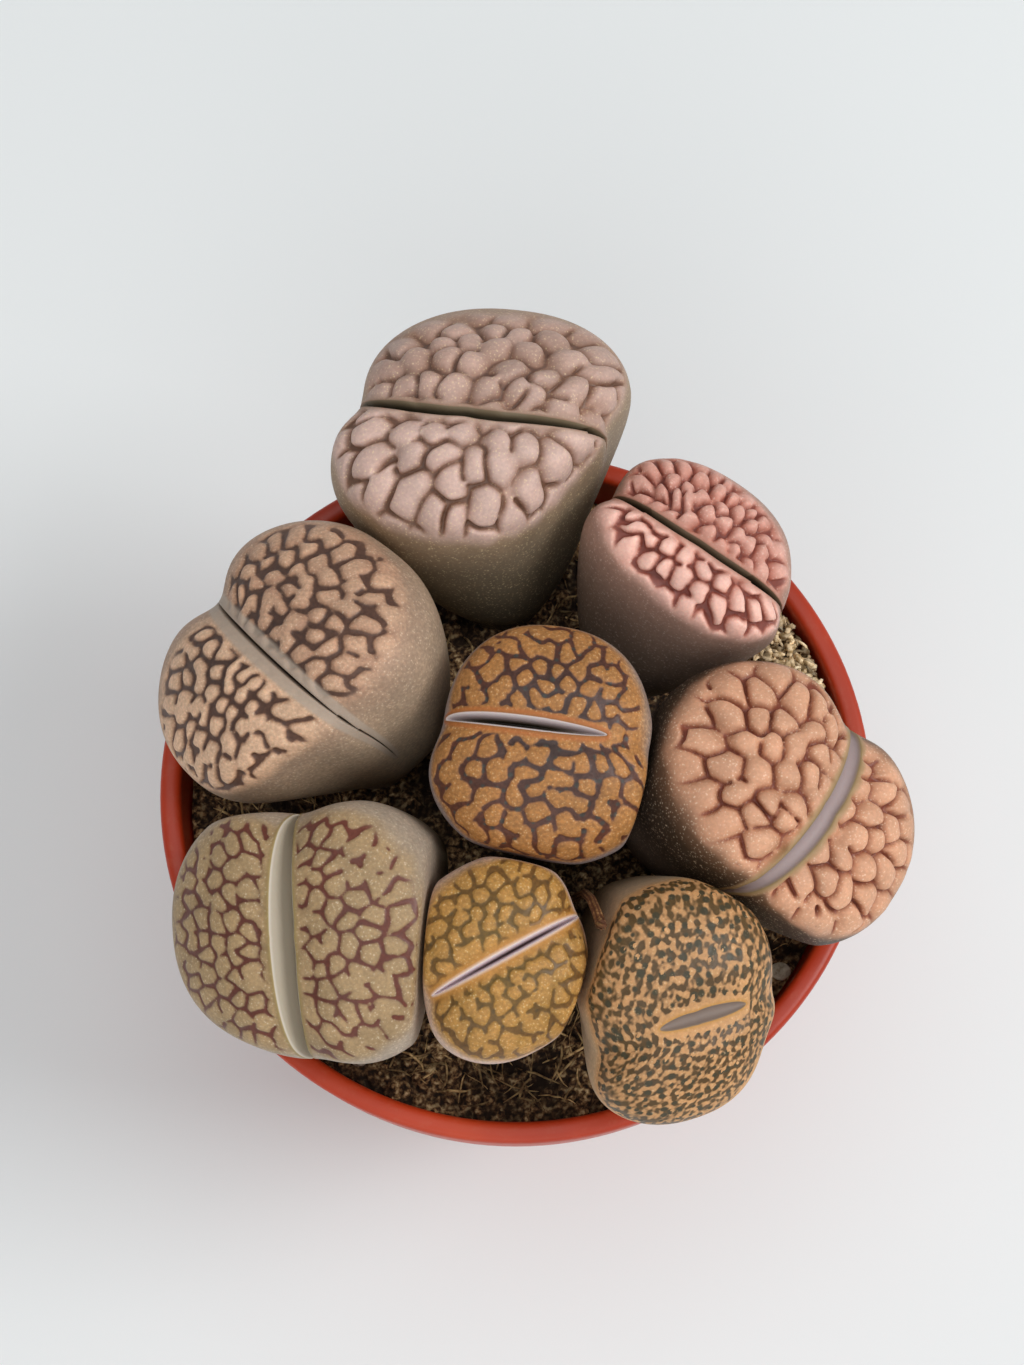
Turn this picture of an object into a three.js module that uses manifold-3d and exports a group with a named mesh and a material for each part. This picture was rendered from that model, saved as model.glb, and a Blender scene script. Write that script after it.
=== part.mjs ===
// Potted lithops: eight stone plants crowded in a round plastic nursery pot.
// Millimetres, +Z up, origin at the middle of the pot's base, the viewer's side at -Y.
import * as THREE from 'three';
import { mergeVertices } from 'three/addons/utils/BufferGeometryUtils.js';
import Module from 'manifold-3d';

const wasm = await Module();
wasm.setup();

// ---------------------------------------------------------------- driving dimensions
const RIM_RADIUS = 42.5;
const POT_HEIGHT = 65;
const BASE_RADIUS = 29;
const WALL = 1.2;
const LIP_WIDTH = 2.6;
const BAND_HEIGHT = 10; // the upright band under the lip
const BAND_STEP = 2.6; // how far the band stands out from the cone below it
const DRAIN_RADIUS = 2;
const DRAIN_COUNT = 6;
const DRAIN_CIRCLE = 19;
const GAP = 0.3; // clearance between pieces that touch
const SOIL_TOP = 58;
const SOIL_LEVEL = SOIL_TOP - 0.4; // mean height of the rough top
const SOIL_ROUGHNESS = 0.9;
const ROOT_DEPTH = 7; // how deep each body stands in the soil
const COLLAR = 2; // straight stretch of the neck above the soil
const RING_SIDES = 24; // sides of the rings round a body
const POT_SIDES = 64;
const SOIL_SIDES = 48;
const SOIL_GRAIN = 3.2; // spacing of the soil's bumps
const FISSURE_BAND = 0.1; // half width of the skin that sinks into a fissure, as a share of a leaf
const LIP_ROUNDING = 0.1; // how far from the fissure a leaf swells to its full height
const SQUARENESS = 2.3; // 2 for a round head, more for a squarer one
const NOTCH_SPREAD = 0.32; // how wide the dent at a fissure's end is
const CROWN_FLATNESS = 1.15;
const FOLD_ROUNDING = 1.5; // how softly the face bends where the leaves fold back
const SHOULDER_ROLL = 0.2; // how softly the body turns in below the widest ring
const CROWN_EDGE = 0.4; // over this much of the sheet the crown's swell dies out at the shoulder
const CROWN_STRETCH = Math.PI / 2; // a step on the sheet is this much longer on the crown
const LEDGE = 1.4; // the inside steps out by this much behind the band
const INNER_CONE_TOP = RIM_RADIUS - BAND_STEP - 0.4 - WALL;

// The dry stump of a flower stalk: points of its middle line, and its radius at foot and tip.
const STALK_PATH = [
  [6, -14, 55], [6.1, -14, 61], [7, -14.4, 68], [7.8, -15.4, 75], [8.4, -17.4, 81], [8.9, -19.8, 85],
  [9.2, -21.6, 87.3],
];
const STALK_RADIUS = [0.42, 0.65];
const STALK_SIDES = 8;
// Loose things on the soil: place, radius, height, share of the radius that sticks out in tips.
const LOOSE = {
  dry_moss_right: { at: [34, 9.6], radius: 4, height: 6.5, tips: 0.4, colour: '#cbb98c', seed: 3 },
  dry_moss_inner: { at: [31.2, 17.2], radius: 3.6, height: 6.2, tips: 0.4, colour: '#bfa777', seed: 7 },
  dry_moss_back: { at: [28.2, 23.6], radius: 2.6, height: 7, tips: 0.35, colour: '#e3d8b4', seed: 13 },
  grit_right: { at: [31.5, -21.5], radius: 1.3, height: 1.1, tips: 0.12, colour: '#cfc8bd', seed: 17 },
  grit_front: { at: [-18.5, -32], radius: 1.0, height: 0.9, tips: 0.12, colour: '#d6d0c6', seed: 19 },
};

// Each plant is one pair of fused leaves.
// head: middle of the crown. tilt, toward: lean from upright and the way it leans.
// fissure: compass angle of the line between the two leaves.
// left, right: half length along the fissure, width across and shift along it, for each leaf.
// gape: how far each leaf folds back. cap: height of the crown above the widest ring.
// dome: swell of each leaf. notch: inset of the outline at the fissure's ends.
// slit: opening is half its width; length, middle and lean are shares of the head; bow and
// depth are in mm; wall: 0.5 for upright walls, more for sloping ones. cell: spacing of the
// islands. relief: their height. round: 0 flat, 1 domed. margin: how far down the head the
// islands go, and how that changes once and twice round the head. neck: x, y and radius where
// it meets the soil.
const PLANTS = {
  lithops_back: {
    head: [-4.4, 40.2, 90], tilt: 16, toward: 104, fissure: -11, gape: 14, cap: 7.5,
    left: [16.6, 19.2, 1.2], right: [15.1, 16.4, -3.3], dome: 2.0, notch: 1.2,
    slit: { opening: 0.5, depth: 7, length: 1.3, middle: 0, bow: -2.4, lean: -0.8, wall: 0.5 },
    cell: 3.6, relief: 0.8, round: 0.8, margin: [0.61, 0.11, -0.17, 0.08, 0],
    neck: [-2, 28, 6.6], colour: '#a98a78', seed: 11,
  },
  lithops_cobbled: {
    head: [21.9, 23.9, 87], tilt: 13.5, toward: 38, fissure: -32.6, gape: 8, cap: 6.5,
    left: [11.9, 10.2, -1.1], right: [14.1, 9.4, -0.1], dome: 1.6, notch: 1.2,
    slit: { opening: 0.4, depth: 5, length: 1.2, middle: 0, bow: -1.4, lean: -0.8, wall: 0.5 },
    cell: 2.6, relief: 0.7, round: 1, margin: [0.54, 0, -0.08, 0.03, -0.08],
    neck: [14.5, 17, 5], colour: '#b0766a', seed: 23,
  },
  lithops_tan: {
    head: [-28.7, 10, 87], tilt: 31, toward: 172, fissure: -40, gape: 8, cap: 7,
    left: [16.6, 17.4, -0.8], right: [13.3, 18.2, -3.6], dome: 1.8, notch: 1.5,
    slit: { opening: 0.16, depth: 5, length: 1.35, middle: 0, bow: 0, lean: 0.6, wall: 0.5 },
    cell: 3.1, relief: 0.5, round: 0.5, margin: [0.55, 0.12, -0.02, -0.11, -0.05],
    neck: [-17.5, 7, 6], colour: '#a98068', seed: 37,
  },
  lithops_centre: {
    head: [3.7, -0.4, 92], tilt: 5, toward: 290, fissure: -8, gape: 3, cap: 6,
    left: [11.5, 12.5, -0.3], right: [13.9, 14.2, 0.2], dome: 1.2, notch: 1.0,
    slit: { opening: 0.8, depth: 4, length: 0.62, middle: -0.27, bow: 0, lean: 0, wall: 1.6 },
    cell: 2.8, relief: 0.35, round: 0.2, margin: [0.68, -0.06, -0.08, -0.07, -0.02],
    neck: [2, 1, 6], colour: '#a3724c', seed: 41,
  },
  lithops_salmon: {
    head: [32.8, -7.1, 87], tilt: 22, toward: -10, fissure: 55, gape: 10, cap: 7.5,
    left: [13.8, 17.6, 1.4], right: [13.2, 17.3, 0], dome: 2.0, notch: 1.5,
    slit: { opening: 0.9, depth: 0.9, length: 1.25, middle: 0, bow: -1.4, lean: 0, wall: 0.5 },
    cell: 3.6, relief: 0.75, round: 0.8, margin: [0.57, -0.03, 0, -0.05, 0.05],
    neck: [20, -4.5, 6.2], colour: '#b3836a', seed: 53,
  },
  lithops_grey: {
    head: [-25.7, -22.7, 86], tilt: 25, toward: 211, fissure: -91, gape: 8, cap: 7,
    left: [15.8, 17, -0.2], right: [14.3, 17.1, -1.8], dome: 1.6, notch: 1.5,
    slit: { opening: 1.4, depth: 3.4, length: 1.03, middle: 0, bow: 1.2, lean: 0.7, wall: 1.3 },
    cell: 3.1, relief: 0.35, round: 0.3, margin: [0.58, 0.03, 0.01, 0.02, 0.01],
    neck: [-15.5, -12.5, 6], colour: '#9c8570', seed: 67,
  },
  lithops_gold: {
    head: [-1.8, -25.1, 88], tilt: 8, toward: 265, fissure: 29, gape: 0, cap: 5.5,
    left: [10.2, 11, 0.7], right: [10.1, 10.6, -1], dome: 1.0, notch: 0.4,
    slit: { opening: 0.35, depth: 2.6, length: 0.88, middle: 0.1, bow: 0, lean: 0, wall: 1.5 },
    cell: 2.6, relief: 0.35, round: 0.3, margin: [0.66, 0.1, -0.1, -0.01, -0.01],
    neck: [-1, -17, 4.8], colour: '#a88045', seed: 71,
  },
  lithops_spotted: {
    head: [19.6, -32.8, 86], tilt: 22, toward: 302, fissure: 15.5, gape: 0, cap: 6.5,
    left: [11.7, 15.6, 0.7], right: [10.3, 10.4, -2.2], dome: 1.0, notch: 0.6,
    slit: { opening: 0.6, depth: 0.7, length: 0.3, middle: 0.06, bow: 0.8, lean: 0, wall: 0.6 },
    cell: 3.6, relief: 0.25, round: 0.3, margin: [0.75, -0.06, 0.1, -0.03, 0.09],
    neck: [13, -19.5, 5.6], colour: '#9a7048', seed: 89,
  },
};

// ---------------------------------------------------------------- small helpers
function seededRandom(seed) {
  let state = seed;
  return () => {
    state = (state * 48271) % 2147483647;
    return state / 2147483647;
  };
}

function solidFrom(points, triangles) {
  const geometry = new THREE.BufferGeometry();
  geometry.setAttribute('position', new THREE.Float32BufferAttribute(points.flatMap((p) => p.toArray()), 3));
  geometry.setIndex(triangles.flat());
  return geometry;
}

function toManifold(geometry) {
  const bare = geometry.clone();
  bare.deleteAttribute('normal');
  bare.deleteAttribute('uv');
  const merged = mergeVertices(bare, 1e-4);
  const triVerts = new Uint32Array(merged.index.array);
  const vertProperties = new Float32Array(merged.attributes.position.array);
  return new wasm.Manifold(new wasm.Mesh({ numProp: 3, vertProperties, triVerts }));
}

function fromManifold(solid) {
  const mesh = solid.getMesh();
  const geometry = new THREE.BufferGeometry();
  geometry.setAttribute('position', new THREE.BufferAttribute(mesh.vertProperties, 3));
  geometry.setIndex(new THREE.BufferAttribute(mesh.triVerts, 1));
  return geometry;
}

function piece(name, geometry, colour, roughness) {
  const material = new THREE.MeshStandardMaterial({ color: colour, roughness, metalness: 0 });
  const mesh = new THREE.Mesh(geometry, material);
  mesh.name = name;
  return mesh;
}

// ---------------------------------------------------------------- the body of a plant
// A body is a rubber sheet drawn over the head and down the flank. A place on it is (p, q):
// p runs along the fissure, q across it. The distance from the crown, s, is 1 at the widest
// ring and 2 at the neck.
function headFrame(plant) {
  const tilt = THREE.MathUtils.degToRad(plant.tilt);
  const toward = THREE.MathUtils.degToRad(plant.toward);
  const fissure = THREE.MathUtils.degToRad(plant.fissure);
  const up = new THREE.Vector3(Math.cos(toward), Math.sin(toward), 0)
    .multiplyScalar(Math.sin(tilt))
    .setZ(Math.cos(tilt));
  const along = new THREE.Vector3(Math.cos(fissure), Math.sin(fissure), 0);
  along.addScaledVector(up, -along.dot(up)).normalize();
  const across = new THREE.Vector3().crossVectors(up, along);
  return { up, along, across };
}

function outlineAt(plant, cos, sin, reach) {
  const [length, width, shift] = sin >= 0 ? plant.left : plant.right;
  const square = (Math.abs(cos) ** SQUARENESS + Math.abs(sin) ** SQUARENESS) ** (-1 / SQUARENESS);
  const nearFissure = Math.exp(-((sin / NOTCH_SPREAD) ** 2));
  const fissureLength = (plant.left[0] + plant.right[0]) / 2 - plant.notch;
  const halfLength = length + (fissureLength - length) * nearFissure;
  const x = reach * (cos * square * halfLength + shift * (1 - nearFissure));
  const y = reach * sin * square * width;
  return [x, y];
}

function flatten(vector) {
  return new THREE.Vector3(vector.x, vector.y, 0).normalize();
}

function bodyPoint(plant, s, cos, sin) {
  const { up, along, across } = headFrame(plant);
  const arc = Math.min(s, 1) * Math.PI / 2;
  const down = Math.max(s - 1, 0);
  const shoulder = new THREE.Vector3(...plant.head).addScaledVector(up, -plant.cap);
  const [neckX, neckY, neckRadius] = plant.neck;
  const neck = new THREE.Vector3(neckX, neckY, SOIL_TOP + COLLAR);
  const pull = shoulder.distanceTo(neck);
  const axis = new THREE.Vector3()
    .addScaledVector(shoulder, 2 * down ** 3 - 3 * down ** 2 + 1)
    .addScaledVector(up, -pull * (down ** 3 - 2 * down ** 2 + down))
    .addScaledVector(neck, 3 * down ** 2 - 2 * down ** 3)
    .addScaledVector(new THREE.Vector3(0, 0, 1), -pull * (down ** 3 - down ** 2));
  const reach = Math.sin(arc);
  const [x, y] = outlineAt(plant, cos, sin, reach);
  const turnedIn = (at) => Math.hypot(at, SHOULDER_ROLL) - SHOULDER_ROLL;
  const headShare = 1 - turnedIn(down) / turnedIn(1);
  const gape = THREE.MathUtils.degToRad(plant.gape);
  const fold = Math.hypot(y, FOLD_ROUNDING) - FOLD_ROUNDING;
  const crown = plant.cap * (1 - (1 - Math.cos(arc)) ** CROWN_FLATNESS);
  const height = crown - Math.tan(gape) * fold * headShare;
  const levelling = down * down * (3 - 2 * down);
  const levelAlong = flatten(along);
  const levelAcross = new THREE.Vector3(-levelAlong.y, levelAlong.x, 0);
  const sideAlong = along.clone().lerp(levelAlong, levelling).normalize();
  const sideAcross = across.clone().lerp(levelAcross, levelling).normalize();
  const point = axis.clone()
    .addScaledVector(sideAlong, x * headShare + neckRadius * cos * reach * (1 - headShare))
    .addScaledVector(sideAcross, y * Math.cos(gape) * headShare + neckRadius * sin * reach * (1 - headShare))
    .addScaledVector(up, height * (down > 0 ? headShare : 1));
  const outward = new THREE.Vector3()
    .addScaledVector(up, Math.cos(arc))
    .addScaledVector(sideAlong, cos * Math.sin(arc))
    .addScaledVector(sideAcross, sin * Math.sin(arc));
  return { point, outward };
}

// The fissure's middle line, the half width of the sheet that sinks into it, its half opening
// and its depth, all at place p along it.
function fissureAt(plant, p) {
  const { opening, depth, length, middle, bow, lean } = plant.slit;
  const width = (plant.left[1] + plant.right[1]) / 2;
  const swell = Math.sqrt(Math.max(0, 1 - ((p - middle) / length) ** 2));
  const half = (opening / width / CROWN_STRETCH) * swell;
  return {
    core: (bow / width) * Math.max(0, 1 - p * p),
    band: FISSURE_BAND * swell,
    opening: half,
    depth: depth * swell ** 1.6,
    lean: lean * half,
  };
}

function skinPoint(plant, p, q, rise) {
  const { up, along } = headFrame(plant);
  const slit = fissureAt(plant, p);
  const offset = Math.abs(q - slit.core);
  const inside = slit.band > 0 && offset < slit.band;
  const share = slit.band > 0 ? Math.min(offset / slit.band, 1) : 1;
  const squeezed = inside
    ? slit.opening * share
    : offset - (slit.band - slit.opening) * Math.exp(-(offset - slit.band) / 0.25);
  const lean = inside ? slit.lean * (1 - share * share) : 0;
  const across = slit.core + lean + Math.sign(q - slit.core) * squeezed;
  const s = Math.hypot(p, across);
  const heading = Math.atan2(across, p);
  const { point, outward } = bodyPoint(plant, s, Math.cos(heading), Math.sin(heading));
  const crown = Math.cos(Math.min(s, 1) * Math.PI / 2) ** 0.6
    * THREE.MathUtils.smoothstep(1 - s, 0, CROWN_EDGE);
  const past = Math.max(squeezed - slit.opening, 0);
  const swell = plant.dome * crown * (1 - 0.7 * Math.exp(-((past / LIP_ROUNDING) ** 2)));
  point.addScaledVector(outward, swell + rise);
  if (inside) {
    const arc = Math.min(Math.abs(p), 1) * Math.PI / 2;
    const sink = slit.depth * (1 - share * share) ** plant.slit.wall;
    point.addScaledVector(up, -sink * Math.cos(arc));
    point.addScaledVector(along, -sink * Math.sin(arc) * Math.sign(p));
  }
  return point;
}

// Neighbours press flat against each other: between two plants lies a plane through the
// middle of their heads and of their necks, and a body flattens softly as it nears it.
const PRESS_SOFTNESS = 0.8;
const PRESS_GAP = 0.16;

function contactPlanes(name) {
  const own = PLANTS[name];
  const others = Object.keys(PLANTS).filter((other) => other !== name);
  return others.map((other) => {
    const mate = PLANTS[other];
    const [head, neck] = [meeting(own, mate, 'head'), meeting(own, mate, 'neck')];
    const apart = new THREE.Vector3(...mate.head).sub(new THREE.Vector3(...own.head));
    const rising = head.clone().sub(neck);
    const normal = new THREE.Vector3().crossVectors(new THREE.Vector3().crossVectors(rising, apart), rising);
    return { point: head, normal: normal.normalize() };
  });
}

function meeting(own, mate, level) {
  const place = (plant) => (level === 'head'
    ? new THREE.Vector3(...plant.head).addScaledVector(headFrame(plant).up, -plant.cap)
    : new THREE.Vector3(plant.neck[0], plant.neck[1], SOIL_TOP));
  const toward = place(mate).sub(place(own));
  const size = (plant, direction) => (level === 'head' ? headReach(plant, direction) : plant.neck[2]);
  const ownSize = size(own, toward);
  const mateSize = size(mate, toward.clone().negate());
  return place(own).addScaledVector(toward, ownSize / (ownSize + mateSize));
}

function headReach(plant, direction) {
  const { along, across } = headFrame(plant);
  const angle = Math.atan2(direction.dot(across), direction.dot(along));
  return Math.hypot(...outlineAt(plant, Math.cos(angle), Math.sin(angle), 1));
}

function pressed(point, planes) {
  for (const plane of planes) {
    const beyond = point.clone().sub(plane.point).dot(plane.normal) + PRESS_GAP + PRESS_SOFTNESS;
    if (beyond > 0) {
      const kept = PRESS_SOFTNESS * (1 - Math.exp(-beyond / PRESS_SOFTNESS));
      point.addScaledVector(plane.normal, kept - beyond);
    }
  }
  return point;
}

// The rings of plain skin, as s: shoulder, widest ring, flank and neck.
const RINGS = [0.84, 1, 1.2, 1.42, 1.68, 2];
const FISSURE_COLUMNS = 8; // steps along half a fissure

// ---------------------------------------------------------------- islands on the face
// Sites are spread over the sheet. An island site carries one raised island; a plain site is
// only a point of the smooth skin.
function marginAt(plant, p, q) {
  const turn = Math.atan2(q, p);
  const [mean, ...waves] = plant.margin;
  const shapes = [Math.cos(turn), Math.sin(turn), Math.cos(2 * turn), Math.sin(2 * turn)];
  return shapes.reduce((sum, shape, wave) => sum + waves[wave] * shape, mean);
}

function islandSites(plant) {
  const random = seededRandom(plant.seed);
  const length = ((plant.left[0] + plant.right[0]) / 2) * CROWN_STRETCH;
  const width = ((plant.left[1] + plant.right[1]) / 2) * CROWN_STRETCH;
  const sites = [];
  const rows = Math.ceil(width / (plant.cell * 0.866)) + 1;
  const columns = Math.ceil(length / plant.cell) + 1;
  for (let row = -rows; row <= rows; row += 1) {
    for (let column = -columns; column <= columns; column += 1) {
      const x = (column + (row % 2) * 0.5 + (random() - 0.5) * 0.5) * plant.cell;
      const y = (row + 0.5 + (random() - 0.5) * 0.5) * plant.cell * 0.866;
      const [p, q] = [x / length, y / width];
      const slit = fissureAt(plant, p);
      const clear = (Math.abs(q - slit.core) - slit.band) * width;
      if (Math.hypot(p, q) < marginAt(plant, p, q) && clear > plant.cell * 0.3) {
        sites.push({ p, q, island: true });
      }
    }
  }
  return sites;
}

function plainSites(plant) {
  const { length, middle } = plant.slit;
  const sites = [];
  for (let column = -FISSURE_COLUMNS; column <= FISSURE_COLUMNS; column += 1) {
    const p = middle + length * Math.sin((column / FISSURE_COLUMNS) * Math.PI / 2);
    const { core, band } = fissureAt(plant, p);
    const rows = Math.abs(column) === FISSURE_COLUMNS ? [0] : [-1, -0.5, 0, 0.5, 1];
    rows.forEach((row) => sites.push({ p, q: core + row * band, island: false }));
  }
  RINGS.forEach((s, ring) => {
    for (let side = 0; side < RING_SIDES; side += 1) {
      const angle = ((side + (ring % 2) * 0.5) / RING_SIDES) * 2 * Math.PI;
      const [p, q] = [s * Math.cos(angle), s * Math.sin(angle)];
      const { core, band } = fissureAt(plant, p);
      const plain = s > marginAt(plant, p, q) + 0.1;
      const beside = Math.abs(q - core) > band + 0.06 || band === 0;
      if (s === 2 || (plain && beside)) sites.push({ p, q, island: false });
    }
  });
  return sites;
}

// Delaunay triangles of the sites by inserting them one at a time.
function delaunay(sites, length, width) {
  const random = seededRandom(5);
  const flat = sites.map(({ p, q }) => [
    p * length + (random() - 0.5) * 1e-3, q * width + (random() - 0.5) * 1e-3]);
  const count = flat.length;
  flat.push([-1000, -1000], [1000, -1000], [0, 1500]);
  let triangles = [circled([count, count + 1, count + 2], flat)];
  for (let site = 0; site < count; site += 1) {
    const [x, y] = flat[site];
    const hit = triangles.filter((t) => (t.x - x) ** 2 + (t.y - y) ** 2 < t.square);
    const edges = new Map();
    hit.forEach(({ corners }) => corners.forEach((corner, i) => {
      const next = corners[(i + 1) % 3];
      const twin = `${next},${corner}`;
      if (edges.has(twin)) edges.delete(twin);
      else edges.set(`${corner},${next}`, [corner, next]);
    }));
    triangles = triangles.filter((t) => !hit.includes(t));
    edges.forEach(([from, to]) => triangles.push(circled([from, to, site], flat)));
  }
  return triangles.map((t) => t.corners).filter((corners) => corners.every((corner) => corner < count));
}

function circled(corners, flat) {
  const [[ax, ay], [bx, by], [cx, cy]] = corners.map((corner) => flat[corner]);
  const double = 2 * (ax * (by - cy) + bx * (cy - ay) + cx * (ay - by));
  const [a, b, c] = [ax * ax + ay * ay, bx * bx + by * by, cx * cx + cy * cy];
  const x = (a * (by - cy) + b * (cy - ay) + c * (ay - by)) / double;
  const y = (a * (cx - bx) + b * (ax - cx) + c * (bx - ax)) / double;
  return { corners, x, y, square: (ax - x) ** 2 + (ay - y) ** 2 };
}

// A triangle with an island at a corner gets a channel point at its middle, and each island
// corner an edge point between the site and that channel point.
const ISLAND_SHARE = 0.72;

function plantGeometry(name) {
  const plant = PLANTS[name];
  const planes = contactPlanes(name);
  const length = (plant.left[0] + plant.right[0]) / 2;
  const width = (plant.left[1] + plant.right[1]) / 2;
  const sites = [...plainSites(plant), ...islandSites(plant)];
  const points = [];
  const triangles = [];
  const put = (p, q, rise) => points.push(pressed(skinPoint(plant, p, q, rise), planes)) - 1;
  const top = plant.relief * 0.7;
  const edge = plant.relief * (0.7 - 0.45 * plant.round);
  const siteIndex = sites.map(({ p, q, island }) => put(p, q, island ? top : 0));
  const faces = delaunay(sites, length, width);
  const byEdge = new Map();
  faces.forEach((corners) => {
    const face = { corners, rims: {} };
    const carries = corners.filter((corner) => sites[corner].island);
    if (carries.length > 0) {
      const p = corners.reduce((sum, corner) => sum + sites[corner].p, 0) / 3;
      const q = corners.reduce((sum, corner) => sum + sites[corner].q, 0) / 3;
      face.channel = put(p, q, carries.length === 3 ? -plant.relief * 0.5 : -plant.relief * 0.15);
      carries.forEach((corner) => {
        const site = sites[corner];
        const [edgeP, edgeQ] = [site.p + (p - site.p) * ISLAND_SHARE, site.q + (q - site.q) * ISLAND_SHARE];
        face.rims[corner] = put(edgeP, edgeQ, edge);
      });
    } else {
      triangles.push(corners.map((corner) => siteIndex[corner]));
    }
    corners.forEach((corner, i) => byEdge.set(`${corner},${corners[(i + 1) % 3]}`, face));
  });
  byEdge.forEach((face, key) => {
    const [from, to] = key.split(',').map(Number);
    const mate = byEdge.get(`${to},${from}`);
    if (face.channel === undefined) return;
    triangles.push(...edgeTriangles(sites, siteIndex, face, mate, from, to));
  });
  closeBelow(plant, points, triangles, siteIndex, sites);
  return solidFrom(points, triangles);
}

// The triangles that face owns along its edge from-to. The half island at from is built here,
// the one at to when the mate's edge to-from is visited.
function edgeTriangles(sites, siteIndex, face, mate, from, to) {
  const [a, b, channel] = [siteIndex[from], siteIndex[to], face.channel];
  const mateChannel = mate.channel;
  if (mateChannel === undefined) return [[a, b, channel]];
  if (!sites[from].island && !sites[to].island) return [[a, b, channel]];
  if (!sites[from].island) return [[a, mateChannel, channel]];
  const [rim, mateRim] = [face.rims[from], mate.rims[from]];
  return [[a, mateRim, rim], [rim, mateRim, mateChannel], [rim, mateChannel, channel]];
}

function ringAt(x, y, z, radius, sides, start) {
  return Array.from({ length: sides }, (_, side) => {
    const angle = start + (side / sides) * 2 * Math.PI;
    return new THREE.Vector3(x + radius * Math.cos(angle), y + radius * Math.sin(angle), z);
  });
}

// A wall from the ring of points above down to a new ring; a hollow's wall faces inward.
function wallDown(points, triangles, upper, ring, hollow) {
  const lower = ring.map((point) => points.push(point) - 1);
  upper.forEach((corner, side) => {
    const next = (side + 1) % upper.length;
    const wall = [[upper[next], corner, lower[side]], [upper[next], lower[side], lower[next]]];
    wall.forEach((triangle) => triangles.push(hollow ? triangle.reverse() : triangle));
  });
  return lower;
}

function floorUnder(points, triangles, ring, middle, hollow) {
  const centre = points.push(middle) - 1;
  ring.forEach((corner, side) => {
    const triangle = [ring[(side + 1) % ring.length], corner, centre];
    triangles.push(hollow ? triangle.reverse() : triangle);
  });
}

function closeBelow(plant, points, triangles, siteIndex, sites) {
  const neckRing = siteIndex.filter((_, i) => Math.abs(Math.hypot(sites[i].p, sites[i].q) - 2) < 1e-9);
  const [x, y, radius] = plant.neck;
  const bottom = SOIL_TOP - ROOT_DEPTH;
  const ring = ringAt(x, y, bottom, radius * 0.94, RING_SIDES, THREE.MathUtils.degToRad(plant.fissure));
  const foot = wallDown(points, triangles, neckRing, ring, false);
  floorUnder(points, triangles, foot, new THREE.Vector3(x, y, bottom), false);
}

// ---------------------------------------------------------------- pot and soil
function potGeometry() {
  const bandBottom = POT_HEIGHT - BAND_HEIGHT;
  const coneTop = RIM_RADIUS - BAND_STEP - 0.4;
  const profile = [
    [0, 0], [BASE_RADIUS - 0.8, 0], [BASE_RADIUS, 0.8],
    [coneTop, bandBottom - 1], [RIM_RADIUS - 0.9, bandBottom],
    [RIM_RADIUS, POT_HEIGHT - 1], [RIM_RADIUS - 0.3, POT_HEIGHT - 0.3], [RIM_RADIUS - 0.9, POT_HEIGHT],
    [RIM_RADIUS - LIP_WIDTH + 0.7, POT_HEIGHT], [RIM_RADIUS - LIP_WIDTH + 0.15, POT_HEIGHT - 0.35],
    [RIM_RADIUS - LIP_WIDTH, POT_HEIGHT - 1.2],
    [INNER_CONE_TOP + LEDGE, bandBottom + 2], [INNER_CONE_TOP, bandBottom - 1],
    [BASE_RADIUS - WALL, WALL + 0.8], [BASE_RADIUS - WALL - 0.8, WALL], [0, WALL],
  ].map(([r, z]) => new THREE.Vector2(r, z));
  let pot = toManifold(new THREE.LatheGeometry(profile, POT_SIDES).rotateX(Math.PI / 2));
  for (let hole = 0; hole < DRAIN_COUNT; hole += 1) {
    const angle = ((hole + 0.5) / DRAIN_COUNT) * 2 * Math.PI;
    const drill = new THREE.CylinderGeometry(DRAIN_RADIUS, DRAIN_RADIUS, WALL * 4, 12).rotateX(Math.PI / 2);
    drill.translate(DRAIN_CIRCLE * Math.cos(angle), DRAIN_CIRCLE * Math.sin(angle), 0);
    pot = pot.subtract(toManifold(drill));
  }
  return fromManifold(pot);
}

// The soil is rough, and level under the loose things that lie on it.
function soilHeight(x, y) {
  const broad = Math.sin(x * 0.31 + 1.3) * Math.cos(y * 0.27 - 0.6);
  const crumbs = Math.sin(x * 1.13 + y * 0.71) * Math.sin(y * 1.31 - x * 0.47 + 2);
  const distances = Object.values(LOOSE).map(({ at, radius }) => (
    Math.hypot(x - at[0], y - at[1]) - radius - SOIL_GRAIN * 1.2));
  const rough = THREE.MathUtils.clamp(Math.min(...distances) / 2, 0, 1);
  return SOIL_LEVEL + SOIL_ROUGHNESS * rough * (0.6 * broad + 0.4 * crumbs);
}

function soilHoles() {
  const holes = Object.values(PLANTS).map(({ neck: [x, y, radius], fissure }) => ({
    x, y, radius, sides: RING_SIDES, start: THREE.MathUtils.degToRad(fissure), bottom: SOIL_TOP - ROOT_DEPTH,
  }));
  const [[x, y, bottom]] = STALK_PATH;
  holes.push({ x, y, radius: STALK_RADIUS[0], sides: STALK_SIDES, start: 0, bottom });
  return holes.map((hole) => ({ ...hole, radius: (hole.radius + GAP) / Math.cos(Math.PI / hole.sides) }));
}

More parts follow.
